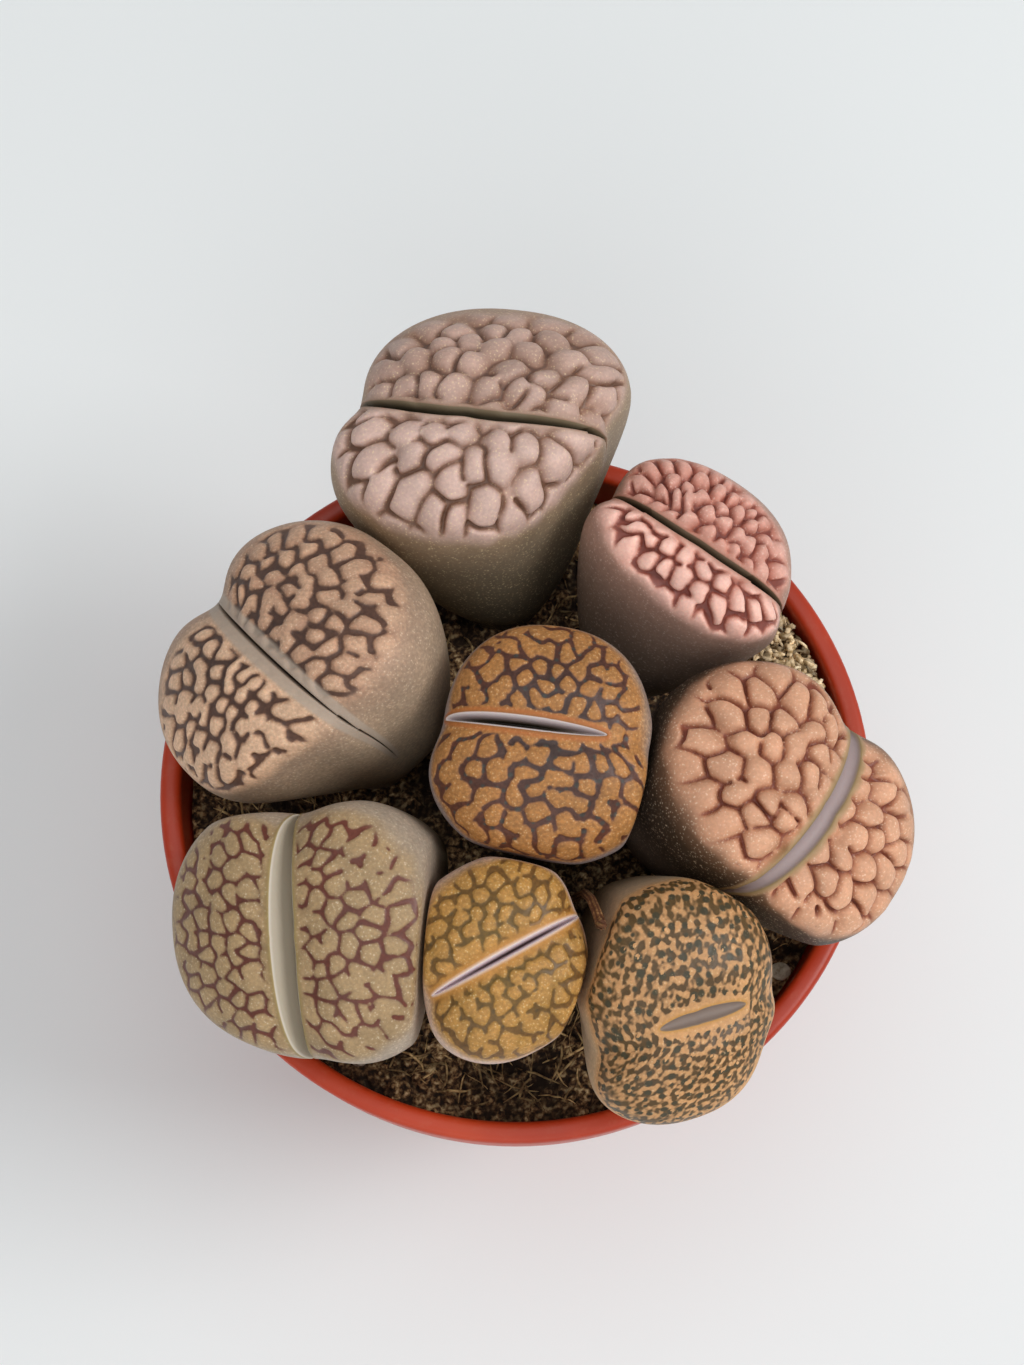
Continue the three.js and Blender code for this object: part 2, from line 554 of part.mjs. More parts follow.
// The top is a net of points that leaves each hole free: the rims first, then loose points.
function soilSites(radius, holes) {
  const random = seededRandom(97);
  const rim = ringAt(0, 0, 0, radius, SOIL_SIDES, 0).map(({ x, y }) => ({ p: x, q: y }));
  const rims = holes.flatMap((hole, index) => (
    ringAt(hole.x, hole.y, 0, hole.radius, hole.sides, hole.start)
      .map(({ x, y }) => ({ p: x, q: y, hole: index }))));
  const loose = [];
  const rows = Math.ceil(radius / SOIL_GRAIN) + 1;
  for (let row = -rows; row <= rows; row += 1) {
    for (let column = -rows; column <= rows; column += 1) {
      const p = (column + (row % 2) * 0.5 + (random() - 0.5) * 0.5) * SOIL_GRAIN;
      const q = (row + (random() - 0.5) * 0.5) * SOIL_GRAIN * 0.87;
      const clear = holes.every((hole) => Math.hypot(p - hole.x, q - hole.y) > hole.radius + 1.2);
      if (clear && Math.hypot(p, q) < radius - 1.8) loose.push({ p, q });
    }
  }
  return [...rim, ...rims, ...loose];
}

function soilGeometry() {
  const topRadius = INNER_CONE_TOP + LEDGE - GAP;
  const holes = soilHoles();
  const sites = soilSites(topRadius, holes);
  const points = sites.map(({ p, q }) => new THREE.Vector3(p, q, soilHeight(p, q)));
  const triangles = delaunay(sites, 1, 1).filter((corners) => {
    const [first, second, third] = corners.map((corner) => sites[corner].hole);
    return first === undefined || first !== second || second !== third;
  });
  const ledge = POT_HEIGHT - BAND_HEIGHT;
  const outline = [
    [topRadius, ledge + 2.4], [INNER_CONE_TOP - GAP - 0.1, ledge - 0.7],
    [BASE_RADIUS - WALL - GAP - 0.9, WALL + GAP],
  ];
  let edge = sites.slice(0, SOIL_SIDES).map((_, side) => side);
  outline.forEach(([radius, z]) => {
    edge = wallDown(points, triangles, edge, ringAt(0, 0, z, radius, SOIL_SIDES, 0), false);
  });
  floorUnder(points, triangles, edge, new THREE.Vector3(0, 0, WALL + GAP), false);
  let first = SOIL_SIDES;
  holes.forEach((hole) => {
    const rim = Array.from({ length: hole.sides }, (_, side) => first + side);
    first += hole.sides;
    const z = hole.bottom - GAP;
    const ring = ringAt(hole.x, hole.y, z, hole.radius, hole.sides, hole.start);
    const foot = wallDown(points, triangles, rim, ring, true);
    floorUnder(points, triangles, foot, new THREE.Vector3(hole.x, hole.y, z), true);
  });
  return solidFrom(points, triangles);
}

// ---------------------------------------------------------------- small things
// A fluted stump that widens towards its broken, uneven end.
function stalkGeometry() {
  const path = new THREE.CatmullRomCurve3(STALK_PATH.map((place) => new THREE.Vector3(...place)));
  const steps = 14;
  const points = [];
  const triangles = [];
  let upper = [];
  for (let step = 0; step <= steps; step += 1) {
    const along = 1 - step / steps;
    const { x, y, z } = path.getPoint(along);
    const radius = THREE.MathUtils.lerp(STALK_RADIUS[0], STALK_RADIUS[1], along ** 3);
    const ring = ringAt(x, y, z, radius, STALK_SIDES, 0);
    if (z > SOIL_TOP + 1) flute(ring, x, y);
    if (step === 0) {
      ring.forEach((point, side) => point.setZ(point.z + 0.5 * Math.sin(side * 2.1)));
      upper = ring.map((point) => points.push(point) - 1);
      floorUnder(points, triangles, upper, new THREE.Vector3(x, y, z - 0.4), true);
    } else {
      upper = wallDown(points, triangles, upper, ring, false);
    }
  }
  const [[x, y, z]] = STALK_PATH;
  floorUnder(points, triangles, upper, new THREE.Vector3(x, y, z), false);
  return solidFrom(points, triangles);
}

function flute(ring, x, y) {
  ring.forEach((point, side) => {
    const share = side % 2 === 0 ? 1 : 0.72;
    point.set(x + (point.x - x) * share, y + (point.y - y) * share, point.z);
  });
}

// A flat-footed lump whose upper side is pulled out into tips.
function looseGeometry({ at, radius, height, tips, seed }) {
  const random = seededRandom(seed);
  const ball = new THREE.IcosahedronGeometry(1, tips > 0.3 ? 3 : 1);
  ball.deleteAttribute('normal');
  ball.deleteAttribute('uv');
  const lump = mergeVertices(ball, 1e-4);
  const place = lump.attributes.position;
  const foot = SOIL_LEVEL + GAP;
  for (let i = 0; i < place.count; i += 1) {
    const point = new THREE.Vector3().fromBufferAttribute(place, i);
    const reach = 1 - tips + tips * (random() < 0.35 ? 1 : 0.2 * random());
    if (point.z > 0.25) point.multiplyScalar(reach);
    else point.multiplyScalar(1 - tips);
    const z = foot + Math.max(point.z, 0) * height;
    place.setXYZ(i, at[0] + point.x * radius, at[1] + point.y * radius, z);
  }
  return lump;
}

// ---------------------------------------------------------------- assembly
const group = new THREE.Group();
group.add(piece('pot', potGeometry(), '#b9421f', 0.45));
group.add(piece('soil', soilGeometry(), '#3a2a1e', 0.98));
Object.keys(PLANTS).forEach((name) => {
  group.add(piece(name, plantGeometry(name), PLANTS[name].colour, 0.6));
});

group.add(piece('flower_stalk', stalkGeometry(), '#8a5230', 0.8));
Object.entries(LOOSE).forEach(([name, thing]) => {
  group.add(piece(name, looseGeometry(thing), thing.colour, 0.9));
});

export default group;
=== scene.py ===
import math

import bmesh
import bpy
import numpy as np
from mathutils import Matrix, Vector


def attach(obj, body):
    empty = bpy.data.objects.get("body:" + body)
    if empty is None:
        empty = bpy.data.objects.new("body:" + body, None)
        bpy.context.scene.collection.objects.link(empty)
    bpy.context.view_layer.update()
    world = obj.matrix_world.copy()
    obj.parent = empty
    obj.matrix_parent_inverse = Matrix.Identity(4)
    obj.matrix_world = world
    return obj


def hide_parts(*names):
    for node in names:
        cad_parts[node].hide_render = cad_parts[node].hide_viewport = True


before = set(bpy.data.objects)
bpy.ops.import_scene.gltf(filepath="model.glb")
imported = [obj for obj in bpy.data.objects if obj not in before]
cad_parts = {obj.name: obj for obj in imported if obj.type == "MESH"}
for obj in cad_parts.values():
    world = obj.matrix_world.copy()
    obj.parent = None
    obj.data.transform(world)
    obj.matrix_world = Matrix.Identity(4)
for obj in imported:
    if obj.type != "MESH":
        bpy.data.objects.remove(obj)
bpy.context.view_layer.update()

# ---------------------------------------------------------------- pot
# A round nursery pot of injection-moulded polypropylene, terracotta red, satin from its
# mould. Its thin wall is spun round the axis: foot, cone, step, upright band and rolled lip.
# Six drain holes are cut through the floor.
MM = 0.001
RIM_RADIUS = 42.5
POT_HEIGHT = 65.0
BASE_RADIUS = 29.0
WALL = 1.2
BAND_BOTTOM = 55.0
CONE_TOP = 39.5
INNER_CONE_TOP = 38.3
LIP_WIDTH = 2.6
POT_STEPS = 160
MIX = {"data_type": "RGBA"}


def linear(colour):
    """An sRGB hex colour as linear RGBA."""
    parts = [int(colour[start:start + 2], 16) / 255 for start in (1, 3, 5)]
    return (*(part / 12.92 if part <= 0.04045 else ((part + 0.055) / 1.055) ** 2.4
              for part in parts), 1.0)


def add(tree, kind, settings=None, inputs=None, stops=None, output=0):
    """Adds a node and gives back one of its outputs. inputs: values, hex colours or other nodes'
    outputs; stops: a ramp's places and colours. A Scale of 2 / MM is 2 grains to the mm."""
    node = tree.nodes.new(kind)
    for name, value in (settings or {}).items():
        setattr(node, name, value)
    for name, value in (inputs or {}).items():
        if isinstance(value, bpy.types.NodeSocket):
            tree.links.new(value, node.inputs[name])
        else:
            node.inputs[name].default_value = linear(value) if isinstance(value, str) else value
    if stops:
        ramp = node.color_ramp
        while len(ramp.elements) < len(stops):
            ramp.elements.new(0.5)
        for element, (place, colour) in zip(ramp.elements, stops):
            element.position = place
            element.color = linear(colour) if isinstance(colour, str) else colour
    return node.outputs[output]


def new_material(name):
    """A new material, its node tree, its Principled shader and its Object coordinates."""
    made = bpy.data.materials.new(name)
    made.use_nodes = True
    tree = made.node_tree
    shader = next(node for node in tree.nodes if node.type == "BSDF_PRINCIPLED")
    return made, tree, shader, add(tree, "ShaderNodeTexCoord", output="Object")


def make_piece(name, shape, finish):
    """Turns a bmesh into a named, smooth-shaded object with one material."""
    mesh = bpy.data.meshes.new(name)
    shape.to_mesh(mesh)
    shape.free()
    mesh.materials.append(finish)
    mesh.shade_smooth()
    piece = bpy.data.objects.new(name, mesh)
    bpy.context.scene.collection.objects.link(piece)
    return piece


def mount(piece, node):
    """The piece rides on the one body and stands for the CAD node, which is hidden."""
    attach(piece, "root")
    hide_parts(node)


def pot_plastic():
    """Polypropylene, injection moulded: satin and evenly dyed, under a thin film of dust."""
    made, tree, shader, place = new_material("moulded_polypropylene_terracotta")
    cloud = add(tree, "ShaderNodeTexNoise", None,
                {"Vector": place, "Scale": 0.06 / MM, "Detail": 3.0})
    tone = add(tree, "ShaderNodeValToRGB", None, {0: cloud},
               [(0.3, "#a82e0e"), (0.55, "#bb3813"), (0.75, "#c54119")])
    dust = add(tree, "ShaderNodeTexNoise", None,
               {"Vector": place, "Scale": 0.9 / MM, "Detail": 4.0})
    film = add(tree, "ShaderNodeValToRGB", None, {0: dust},
               [(0.55, (0, 0, 0, 1)), (0.8, (0.22, 0.22, 0.22, 1))])
    colour = add(tree, "ShaderNodeMix", MIX, {0: film, 6: tone, 7: "#c06a4c"}, output=2)
    tree.links.new(colour, shader.inputs["Base Color"])
    sheen = add(tree, "ShaderNodeMapRange", None, {0: cloud, 3: 0.34, 4: 0.5})
    tree.links.new(sheen, shader.inputs["Roughness"])
    grain = add(tree, "ShaderNodeTexNoise", None, {"Vector": place, "Scale": 2.5 / MM})
    bump = add(tree, "ShaderNodeBump", None,
               {"Strength": 0.12, "Distance": 0.1 * MM, "Height": grain})
    tree.links.new(bump, shader.inputs["Normal"])
    shader.inputs["IOR"].default_value = 1.49
    return made


def spun(profile, steps):
    """A profile of radius and height spun once round the upright axis."""
    shape = bmesh.new()
    corners = [shape.verts.new((radius * MM, 0, height * MM)) for radius, height in profile]
    edges = [shape.edges.new(pair) for pair in zip(corners, corners[1:])]
    bmesh.ops.spin(shape, geom=corners + edges, cent=(0, 0, 0), axis=(0, 0, 1),
                   angle=2 * math.pi, steps=steps, use_merge=True)
    bmesh.ops.remove_doubles(shape, verts=shape.verts, dist=0.001 * MM)
    bmesh.ops.recalc_face_normals(shape, faces=shape.faces)
    return shape


def rounded(corners, radius, steps=4):
    """A profile whose inner corners are rounded by about the radius."""
    profile = [corners[0]]
    for before, corner, after in zip(corners, corners[1:], corners[2:]):
        before, corner, after = (Vector(point) for point in (before, corner, after))
        cut = min(radius, (before - corner).length / 2.2, (after - corner).length / 2.2)
        start = corner + (before - corner).normalized() * cut
        end = corner + (after - corner).normalized() * cut
        for step in range(steps + 1):
            share = step / steps
            profile.append(tuple(start.lerp(corner, share).lerp(corner.lerp(end, share), share)))
    return profile + [corners[-1]]


POT_OUTLINE = [
    (0, 0), (BASE_RADIUS, 0), (CONE_TOP, BAND_BOTTOM - 1), (RIM_RADIUS - 0.7, BAND_BOTTOM),
    (RIM_RADIUS, POT_HEIGHT), (RIM_RADIUS - LIP_WIDTH, POT_HEIGHT),
    (RIM_RADIUS - LIP_WIDTH, POT_HEIGHT - 2.4), (INNER_CONE_TOP + 1.4, BAND_BOTTOM + 2),
    (INNER_CONE_TOP, BAND_BOTTOM - 1), (BASE_RADIUS - WALL, WALL), (0, WALL),
]
DRAIN_RADIUS = 2.0
DRAIN_COUNT = 6
DRAIN_CIRCLE = 19.0

pot = make_piece("pot_moulding", spun(rounded(POT_OUTLINE, 1.0), POT_STEPS), pot_plastic())
drill_shape = bmesh.new()
for hole in range(DRAIN_COUNT):
    turn = (hole + 0.5) / DRAIN_COUNT * 2 * math.pi
    middle = Vector((math.cos(turn), math.sin(turn), 0)) * DRAIN_CIRCLE * MM
    bmesh.ops.create_cone(drill_shape, cap_ends=True, segments=24, radius1=DRAIN_RADIUS * MM,
                          radius2=DRAIN_RADIUS * MM, depth=5 * MM,
                          matrix=Matrix.Translation(middle))
drill = make_piece("drill", drill_shape, pot.data.materials[0])
cut = pot.modifiers.new("drain holes", "BOOLEAN")
cut.operation = "DIFFERENCE"
cut.object = drill
bpy.context.view_layer.update()
with_holes = pot.evaluated_get(bpy.context.evaluated_depsgraph_get())
drilled = bpy.data.meshes.new_from_object(with_holes)
pot.modifiers.clear()
pot.data = drilled
bpy.data.objects.remove(drill)
drilled.set_sharp_from_angle(angle=math.radians(35))
mount(pot, "pot")

# ---------------------------------------------------------------- soil
# A brown, fibrous peat mix that fills the pot to just under the lip. Its top is a fine net of
# crumbs; the sides and floor follow the inside of the pot. Loose fibres lie on it.
SOIL_LEVEL = 57.6
SOIL_RADIUS = 39.4
SOIL_NET = 240
SOIL_FIELD = 45  # half the side of the square that the crumbs are scattered over
# the soil's side and foot, radius and height, just inside the pot's wall
INSIDE_OF_POT = [(SOIL_RADIUS, 57.0), (INNER_CONE_TOP - 0.5, 54.2),
                 (BASE_RADIUS - WALL - 1.2, 1.7)]
# where the soil lies level under the moss and the grit: x, y, radius
LEVEL_PADS = [(34.0, 9.6, 4.0), (31.2, 17.2, 3.6), (28.2, 23.6, 2.6), (31.5, -21.5, 1.3),
              (-18.5, -32.0, 1.0)]


def ripples(x, y, size, seed, count=9):
    """Smooth random waves from -1 to 1, about size mm long."""
    random = np.random.default_rng(seed)
    turns = random.uniform(0, 2 * math.pi, count)
    lengths = size * random.uniform(0.75, 1.35, count)
    phases = random.uniform(0, 2 * math.pi, count)
    total = np.zeros_like(x)
    for turn, length, phase in zip(turns, lengths, phases):
        total += np.sin((x * math.cos(turn) + y * math.sin(turn)) * 2 * math.pi / length + phase)
    return total / math.sqrt(count) * 0.8


def disc_places(a, b):
    """Spreads places of a square from -1 to 1 over the unit disc; its rows bend smoothly."""
    return a * np.sqrt(1 - b * b / 2), b * np.sqrt(1 - a * a / 2)


def places_of(mesh):
    """The places of a mesh's vertices, one row each."""
    places = np.empty(len(mesh.vertices) * 3, np.float32)
    mesh.vertices.foreach_get("co", places)
    return places.reshape(-1, 3).astype(float)


def move_places(mesh, places):
    """Moves a mesh's vertices to the places."""
    mesh.vertices.foreach_set("co", places.astype(np.float32).ravel())
    mesh.update()


def store(mesh, name, values):
    """Keeps one number for each vertex, for the material to read."""
    layer = mesh.attributes.new(name, "FLOAT", "POINT")
    layer.data.foreach_set("value", values.astype(np.float32))


def cells_round(x, y, field, cell, jitter):
    """The nine cells round each place of a square field, each with a site somewhere in it: the
    cell's numbers and the square of the distance to its site."""
    count = len(jitter)
    column = np.floor((x + field) / cell).astype(int)
    row = np.floor((y + field) / cell).astype(int)
    for step_x in (-1, 0, 1):
        for step_y in (-1, 0, 1):
            i = np.clip(column + step_x, 0, count - 1)
            j = np.clip(row + step_y, 0, count - 1)
            far_x = x + field - (i + jitter[i, j, 0]) * cell
            far_y = y + field - (j + jitter[i, j, 1]) * cell
            yield i, j, far_x ** 2 + far_y ** 2


def crumbs(x, y, cell, seed):
    """The height, from 0 to 1, of round crumbs scattered a cell apart."""
    random = np.random.default_rng(seed)
    count = int(2 * SOIL_FIELD / cell) + 2
    jitter = random.uniform(0.1, 0.9, (count, count, 2))
    sizes = random.uniform(0.35, 1.0, (count, count))
    best = np.zeros_like(x)
    for i, j, far in cells_round(x, y, SOIL_FIELD, cell, jitter):
        share = far / (0.62 * cell * sizes[i, j]) ** 2
        best = np.maximum(best, np.sqrt(np.clip(1 - share, 0, 1)) * sizes[i, j])
    return best


def soil_height(x, y):
    """The rough top of the soil, in mm; level under the loose things."""
    broad = np.sin(x * 0.31 + 1.3) * np.cos(y * 0.27 - 0.6)
    rough = np.ones_like(x)
    for pad_x, pad_y, radius in LEVEL_PADS:
        rough = np.minimum(rough, np.clip((np.hypot(x - pad_x, y - pad_y) - radius) / 2, 0, 1))
    lumps = 0.9 * crumbs(x, y, 2.6, 1) + 0.6 * crumbs(x, y, 1.3, 2) + 0.35 * crumbs(x, y, 0.7, 3)
    return SOIL_LEVEL + 0.55 * broad * rough + (lumps - 0.75) * (0.35 + 0.65 * rough)


def peat():
    """Sphagnum peat with bark dust: matt, dark brown, with lighter dry grains on its crumbs;
    the hollows between the crumbs are painted very dark brown as painted shade.
    """
    made, tree, shader, place = new_material("fibrous_peat")
    fine = add(tree, "ShaderNodeTexNoise", None,
               {"Vector": place, "Scale": 1.4 / MM, "Detail": 5.0})
    tone = add(tree, "ShaderNodeValToRGB", None, {0: fine},
               [(0.36, "#170d06"), (0.46, "#523620"), (0.56, "#a17d54"), (0.68, "#e8cc9c")])
    raised = add(tree, "ShaderNodeAttribute", {"attribute_name": "crumb"}, output="Fac")
    # low places between the crumbs take a very dark brown: painted shade in the hollows
    colour = add(tree, "ShaderNodeMix", MIX, {0: raised, 6: "#241509", 7: tone}, output=2)
    tree.links.new(colour, shader.inputs["Base Color"])
    bump = add(tree, "ShaderNodeBump", None,
               {"Strength": 0.7, "Distance": 0.3 * MM, "Height": fine})
    tree.links.new(bump, shader.inputs["Normal"])
    shader.inputs["Roughness"].default_value = 0.95
    return made


soil_shape = bmesh.new()
bmesh.ops.create_grid(soil_shape, x_segments=SOIL_NET, y_segments=SOIL_NET, size=1)
rim_edges = [edge for edge in soil_shape.edges if edge.is_boundary]
for corner in soil_shape.verts:
    corner.co.x, corner.co.y = disc_places(corner.co.x, corner.co.y)
    corner.co.x *= SOIL_RADIUS * MM
    corner.co.y *= SOIL_RADIUS * MM
for radius, height in INSIDE_OF_POT:
    pulled = bmesh.ops.extrude_edge_only(soil_shape, edges=rim_edges)["geom"]
    rim_edges = [item for item in pulled if isinstance(item, bmesh.types.BMEdge)]
    for corner in {corner for edge in rim_edges for corner in edge.verts}:
        corner.co = corner.co.to_2d().normalized().to_3d() * radius * MM
        corner.co.z = height * MM
bmesh.ops.holes_fill(soil_shape, edges=rim_edges)
bmesh.ops.recalc_face_normals(soil_shape, faces=soil_shape.faces)
soil = make_piece("soil_fill", soil_shape, peat())
soil_places = places_of(soil.data)
on_top = soil_places[:, 2] == 0
soil_x, soil_y = soil_places[:, 0] / MM, soil_places[:, 1] / MM
heights = soil_height(soil_x, soil_y)
soil_places[on_top, 2] = heights[on_top] * MM
move_places(soil.data, soil_places)
store(soil.data, "crumb", np.clip((heights - SOIL_LEVEL + 0.9) / 1.3, 0, 1))
mount(soil, "soil")

# ---------------------------------------------------------------- lithops
# Each lithops is one pair of fused succulent leaves, grown as one body. A sheet of skin is
# drawn over its crown, down into the fissure between the leaves and down the flank to the
# soil; islands of skin stand up between channels that show the leaf's windows.
SOIL_TOP = 58.0
GAP = 0.3  # clearance between pieces that touch
COLLAR = 2.0  # straight stretch of the neck above the soil
ROOT_DEPTH = 7.0  # how deep each body stands in the soil
ROOT_TAPER = 0.06  # how much the root narrows on its way down
SHEET_END = 2.25  # the sheet runs from 0 on the crown past 1, the widest ring, and 2, the neck
FISSURE_BAND = 0.1  # half width of the skin that sinks into a fissure, as a share of a leaf
LIP_ROUNDING = 0.1  # how far from the fissure a leaf swells to its full height
SQUARENESS = 2.3  # 2 for a round head, more for a squarer one
NOTCH_SPREAD = 0.32  # how wide the dent at a fissure's end is
CROWN_FLATNESS = 1.15
CROWN_EDGE = 0.4  # over this much of the sheet the crown's swell dies out at the shoulder
FOLD_ROUNDING = 1.5  # how softly the face bends where the leaves fold back
SHOULDER_ROLL = 0.2  # how softly the body turns in below the widest ring
PRESS_SOFTNESS = 0.8  # how softly a head flattens against its neighbour
PRESS_GAP = 0.16  # half the gap between two heads
FACE_SHARE = 0.84  # the share of the skin's net that makes the head
SLIT_ROWS = 0.07  # the share of its rows that line the fissure
UNROLLED, UNROLL_TURN = 1.315, 1.15  # how the domed face is laid out flat
NET_STEP = 0.1  # one step of the painted net
NET_REACH = 27.0  # half the side of the painted net
RAYS = 0.2  # how much the lobes are drawn out along the radius near the margin
CHANCES = 4099  # random numbers that the painted net draws on
DOT_FIELD = 30  # half the side of the square that the window dots are scattered over
DOT_CELL = 1.05  # their spacing
DOT_CHANCE = 0.7  # the share of the places that has one

# head: middle of the crown; tilt and toward: its lean; fissure: the way the slit runs; gape:
# how far each leaf folds back; cap: height of the crown; left and right: half length, width
# and shift of each leaf; dome, notch: swell of a leaf and dent at the slit's ends; slit: half
# opening, depth, length, middle, bow and lean; cell, relief, round: spacing, height and
# roundness of the islands; margin: how far down the head they go, and how that changes round
# the head; wall: slope of the slit's walls; bare: plain skin beside the slit; neck: place and
# radius; seed: of its random numbers; net: faces along the sheet; paler: painted light, how
# much paler the front leaf is painted as if more light fell on it; channel: width of the
# channels; whole: the share of them that is there; soft: how far their edges blur; window:
# how much wider they are in the middle; dot: radius of the window dots. Lengths are in mm.
PLANTS = {
    "lithops_back": dict(
        head=(-4.4, 40.2, 90), tilt=16, toward=104, fissure=-11, gape=14, cap=7.5,
        left=(16.6, 19.2, 1.2), right=(15.1, 16.4, -3.3), dome=2.0, notch=1.2,
        slit=(0.5, 7, 1.3, 0, -2.4, -0.8), cell=3.2, relief=1.3, round=1.0,
        margin=(0.64, 0.11, -0.17, 0.08, 0.00), wall=0.5, bare=(0.3, 0.3),
        neck=(-2, 28, 6.6), seed=11, net=310, paler=0.5,
        channel=0.27, whole=0.95, soft=0.14, window=0, dot=0),
    "lithops_cobbled": dict(
        head=(21.9, 23.9, 87), tilt=13.5, toward=38, fissure=-32.6, gape=8, cap=6.5,
        left=(11.9, 10.2, -1.1), right=(14.1, 9.4, -0.1), dome=1.6, notch=1.2,
        slit=(0.4, 5, 1.2, 0, -1.4, -0.8), cell=1.95, relief=1.15, round=1.0,
        margin=(0.57, -0.00, -0.08, 0.03, -0.08), wall=0.5, bare=(0.2, 0.2),
        neck=(14.5, 17, 5.0), seed=23, net=300, paler=0.75,
        channel=0.24, whole=0.99, soft=0.1, window=0, dot=0),
    "lithops_tan": dict(
        head=(-28.7, 10.0, 87), tilt=31, toward=172, fissure=-40, gape=8, cap=7,
        left=(16.6, 17.4, -0.8), right=(13.3, 18.2, -3.6), dome=1.8, notch=1.5,
        slit=(0.1, 5, 1.35, 0, 0, 0.6), cell=2.2, relief=0.45, round=0.35,
        margin=(0.58, 0.12, -0.02, -0.11, -0.05), wall=0.5, bare=(0.2, 1.3),
        neck=(-17.5, 7, 6.0), seed=37, net=310, paler=0.8,
        channel=0.44, whole=0.84, soft=0.15, window=0.2, dot=0.2),
    "lithops_centre": dict(
        head=(3.7, -0.4, 92), tilt=5, toward=290, fissure=-8, gape=3, cap=6,
        left=(11.5, 12.5, -0.3), right=(13.9, 14.2, 0.2), dome=1.2, notch=1.0,
        slit=(0.85, 2.6, 0.62, -0.27, 0, 0), cell=2.05, relief=0.16, round=0.1,
        margin=(0.71, -0.06, -0.08, -0.07, -0.02), wall=2.6, bare=(0.2, 0.2),
        neck=(2, 1, 6.0), seed=41, net=300, paler=0,
        channel=0.43, whole=0.87, soft=0.13, window=0.4, dot=0.24),
    "lithops_salmon": dict(
        head=(32.8, -7.1, 87), tilt=22, toward=-10, fissure=55, gape=10, cap=7.5,
        left=(13.8, 17.6, 1.4), right=(13.2, 17.3, 0.0), dome=2.0, notch=1.5,
        slit=(0.9, 0.9, 1.25, 0, -1.4, 0), cell=2.85, relief=1.35, round=0.9,
        margin=(0.60, -0.03, 0.00, -0.05, 0.05), wall=0.5, bare=(0.4, 0.4),
        neck=(20, -4.5, 6.2), seed=53, net=310, paler=0,
        channel=0.22, whole=0.96, soft=0.1, window=0, dot=0),
    "lithops_grey": dict(
        head=(-25.7, -22.7, 86), tilt=25, toward=211, fissure=-91, gape=8, cap=7,
        left=(15.8, 17, -0.2), right=(14.3, 17.1, -1.8), dome=1.6, notch=1.5,
        slit=(1.4, 3.4, 1.03, 0, 0.3, 0.7), cell=2.05, relief=0.16, round=0.2,
        margin=(0.61, 0.03, 0.01, 0.02, 0.01), wall=1.3, bare=(0.1, 0.4),
        neck=(-15.5, -12.5, 6.0), seed=67, net=310, paler=0.3,
        channel=0.3, whole=0.92, soft=0.1, window=0, dot=0),
    "lithops_gold": dict(
        head=(-1.8, -25.1, 88), tilt=8, toward=265, fissure=29, gape=0, cap=5.5,
        left=(10.2, 11.0, 0.7), right=(10.1, 10.6, -1.0), dome=1.0, notch=0.4,
        slit=(0.5, 1.6, 0.81, 0.17, 0, 0), cell=1.7, relief=0.14, round=0.2,
        margin=(0.69, 0.10, -0.10, -0.01, -0.01), wall=2.4, bare=(0.15, 0.15),
        neck=(-1, -17, 4.8), seed=71, net=280, paler=0,
        channel=0.33, whole=0.88, soft=0.12, window=0.1, dot=0.2),
    "lithops_spotted": dict(
        head=(19.6, -32.8, 86), tilt=22, toward=302, fissure=15.5, gape=0, cap=6.5,
        left=(11.7, 15.6, 0.7), right=(10.3, 10.4, -2.2), dome=1.0, notch=0.6,
        slit=(0.6, 0.7, 0.3, 0.06, 0.8, 0), cell=3.0, relief=0.06, round=0.3,
        margin=(0.78, -0.06, 0.10, -0.03, 0.09), wall=0.6, bare=(0.1, 0.1),
        neck=(13, -19.5, 5.6), seed=89, net=300, paler=0, dot=0.34),
}


def unit(vectors):
    """Vectors of length 1."""
    return vectors / np.linalg.norm(vectors, axis=-1, keepdims=True)


def smoothstep(low, high, value):
    """0 below low, 1 above high, and a smooth rise between."""
    share = np.clip((value - low) / (high - low), 0, 1)
    return share * share * (3 - 2 * share)


def mean_size(plant):
    """Half length and width of the head, in mm."""
    return (plant["left"][0] + plant["right"][0]) / 2, (plant["left"][1] + plant["right"][1]) / 2


def head_frame(plant):
    """The head's own directions: up, along the fissure and across it."""
    tilt, toward, fissure = (math.radians(plant[key]) for key in ("tilt", "toward", "fissure"))
    up = np.array([math.sin(tilt) * math.cos(toward), math.sin(tilt) * math.sin(toward),
                   math.cos(tilt)])
    along = np.array([math.cos(fissure), math.sin(fissure), 0])
    along = unit(along - up * along.dot(up))
    return up, along, np.cross(up, along)


def outline_at(plant, cos, sin, reach):
    """A place on the head's outline, along and across the fissure."""
    side = sin >= 0
    length, width, shift = (np.where(side, left, right)
                            for left, right in zip(plant["left"], plant["right"]))
    square = (np.abs(cos) ** SQUARENESS + np.abs(sin) ** SQUARENESS) ** (-1 / SQUARENESS)
    near = np.exp(-((sin / NOTCH_SPREAD) ** 2))
    slit_length = mean_size(plant)[0] - plant["notch"]
    half = length + (slit_length - length) * near
    return reach * (cos * square * half + shift * (1 - near)), reach * sin * square * width


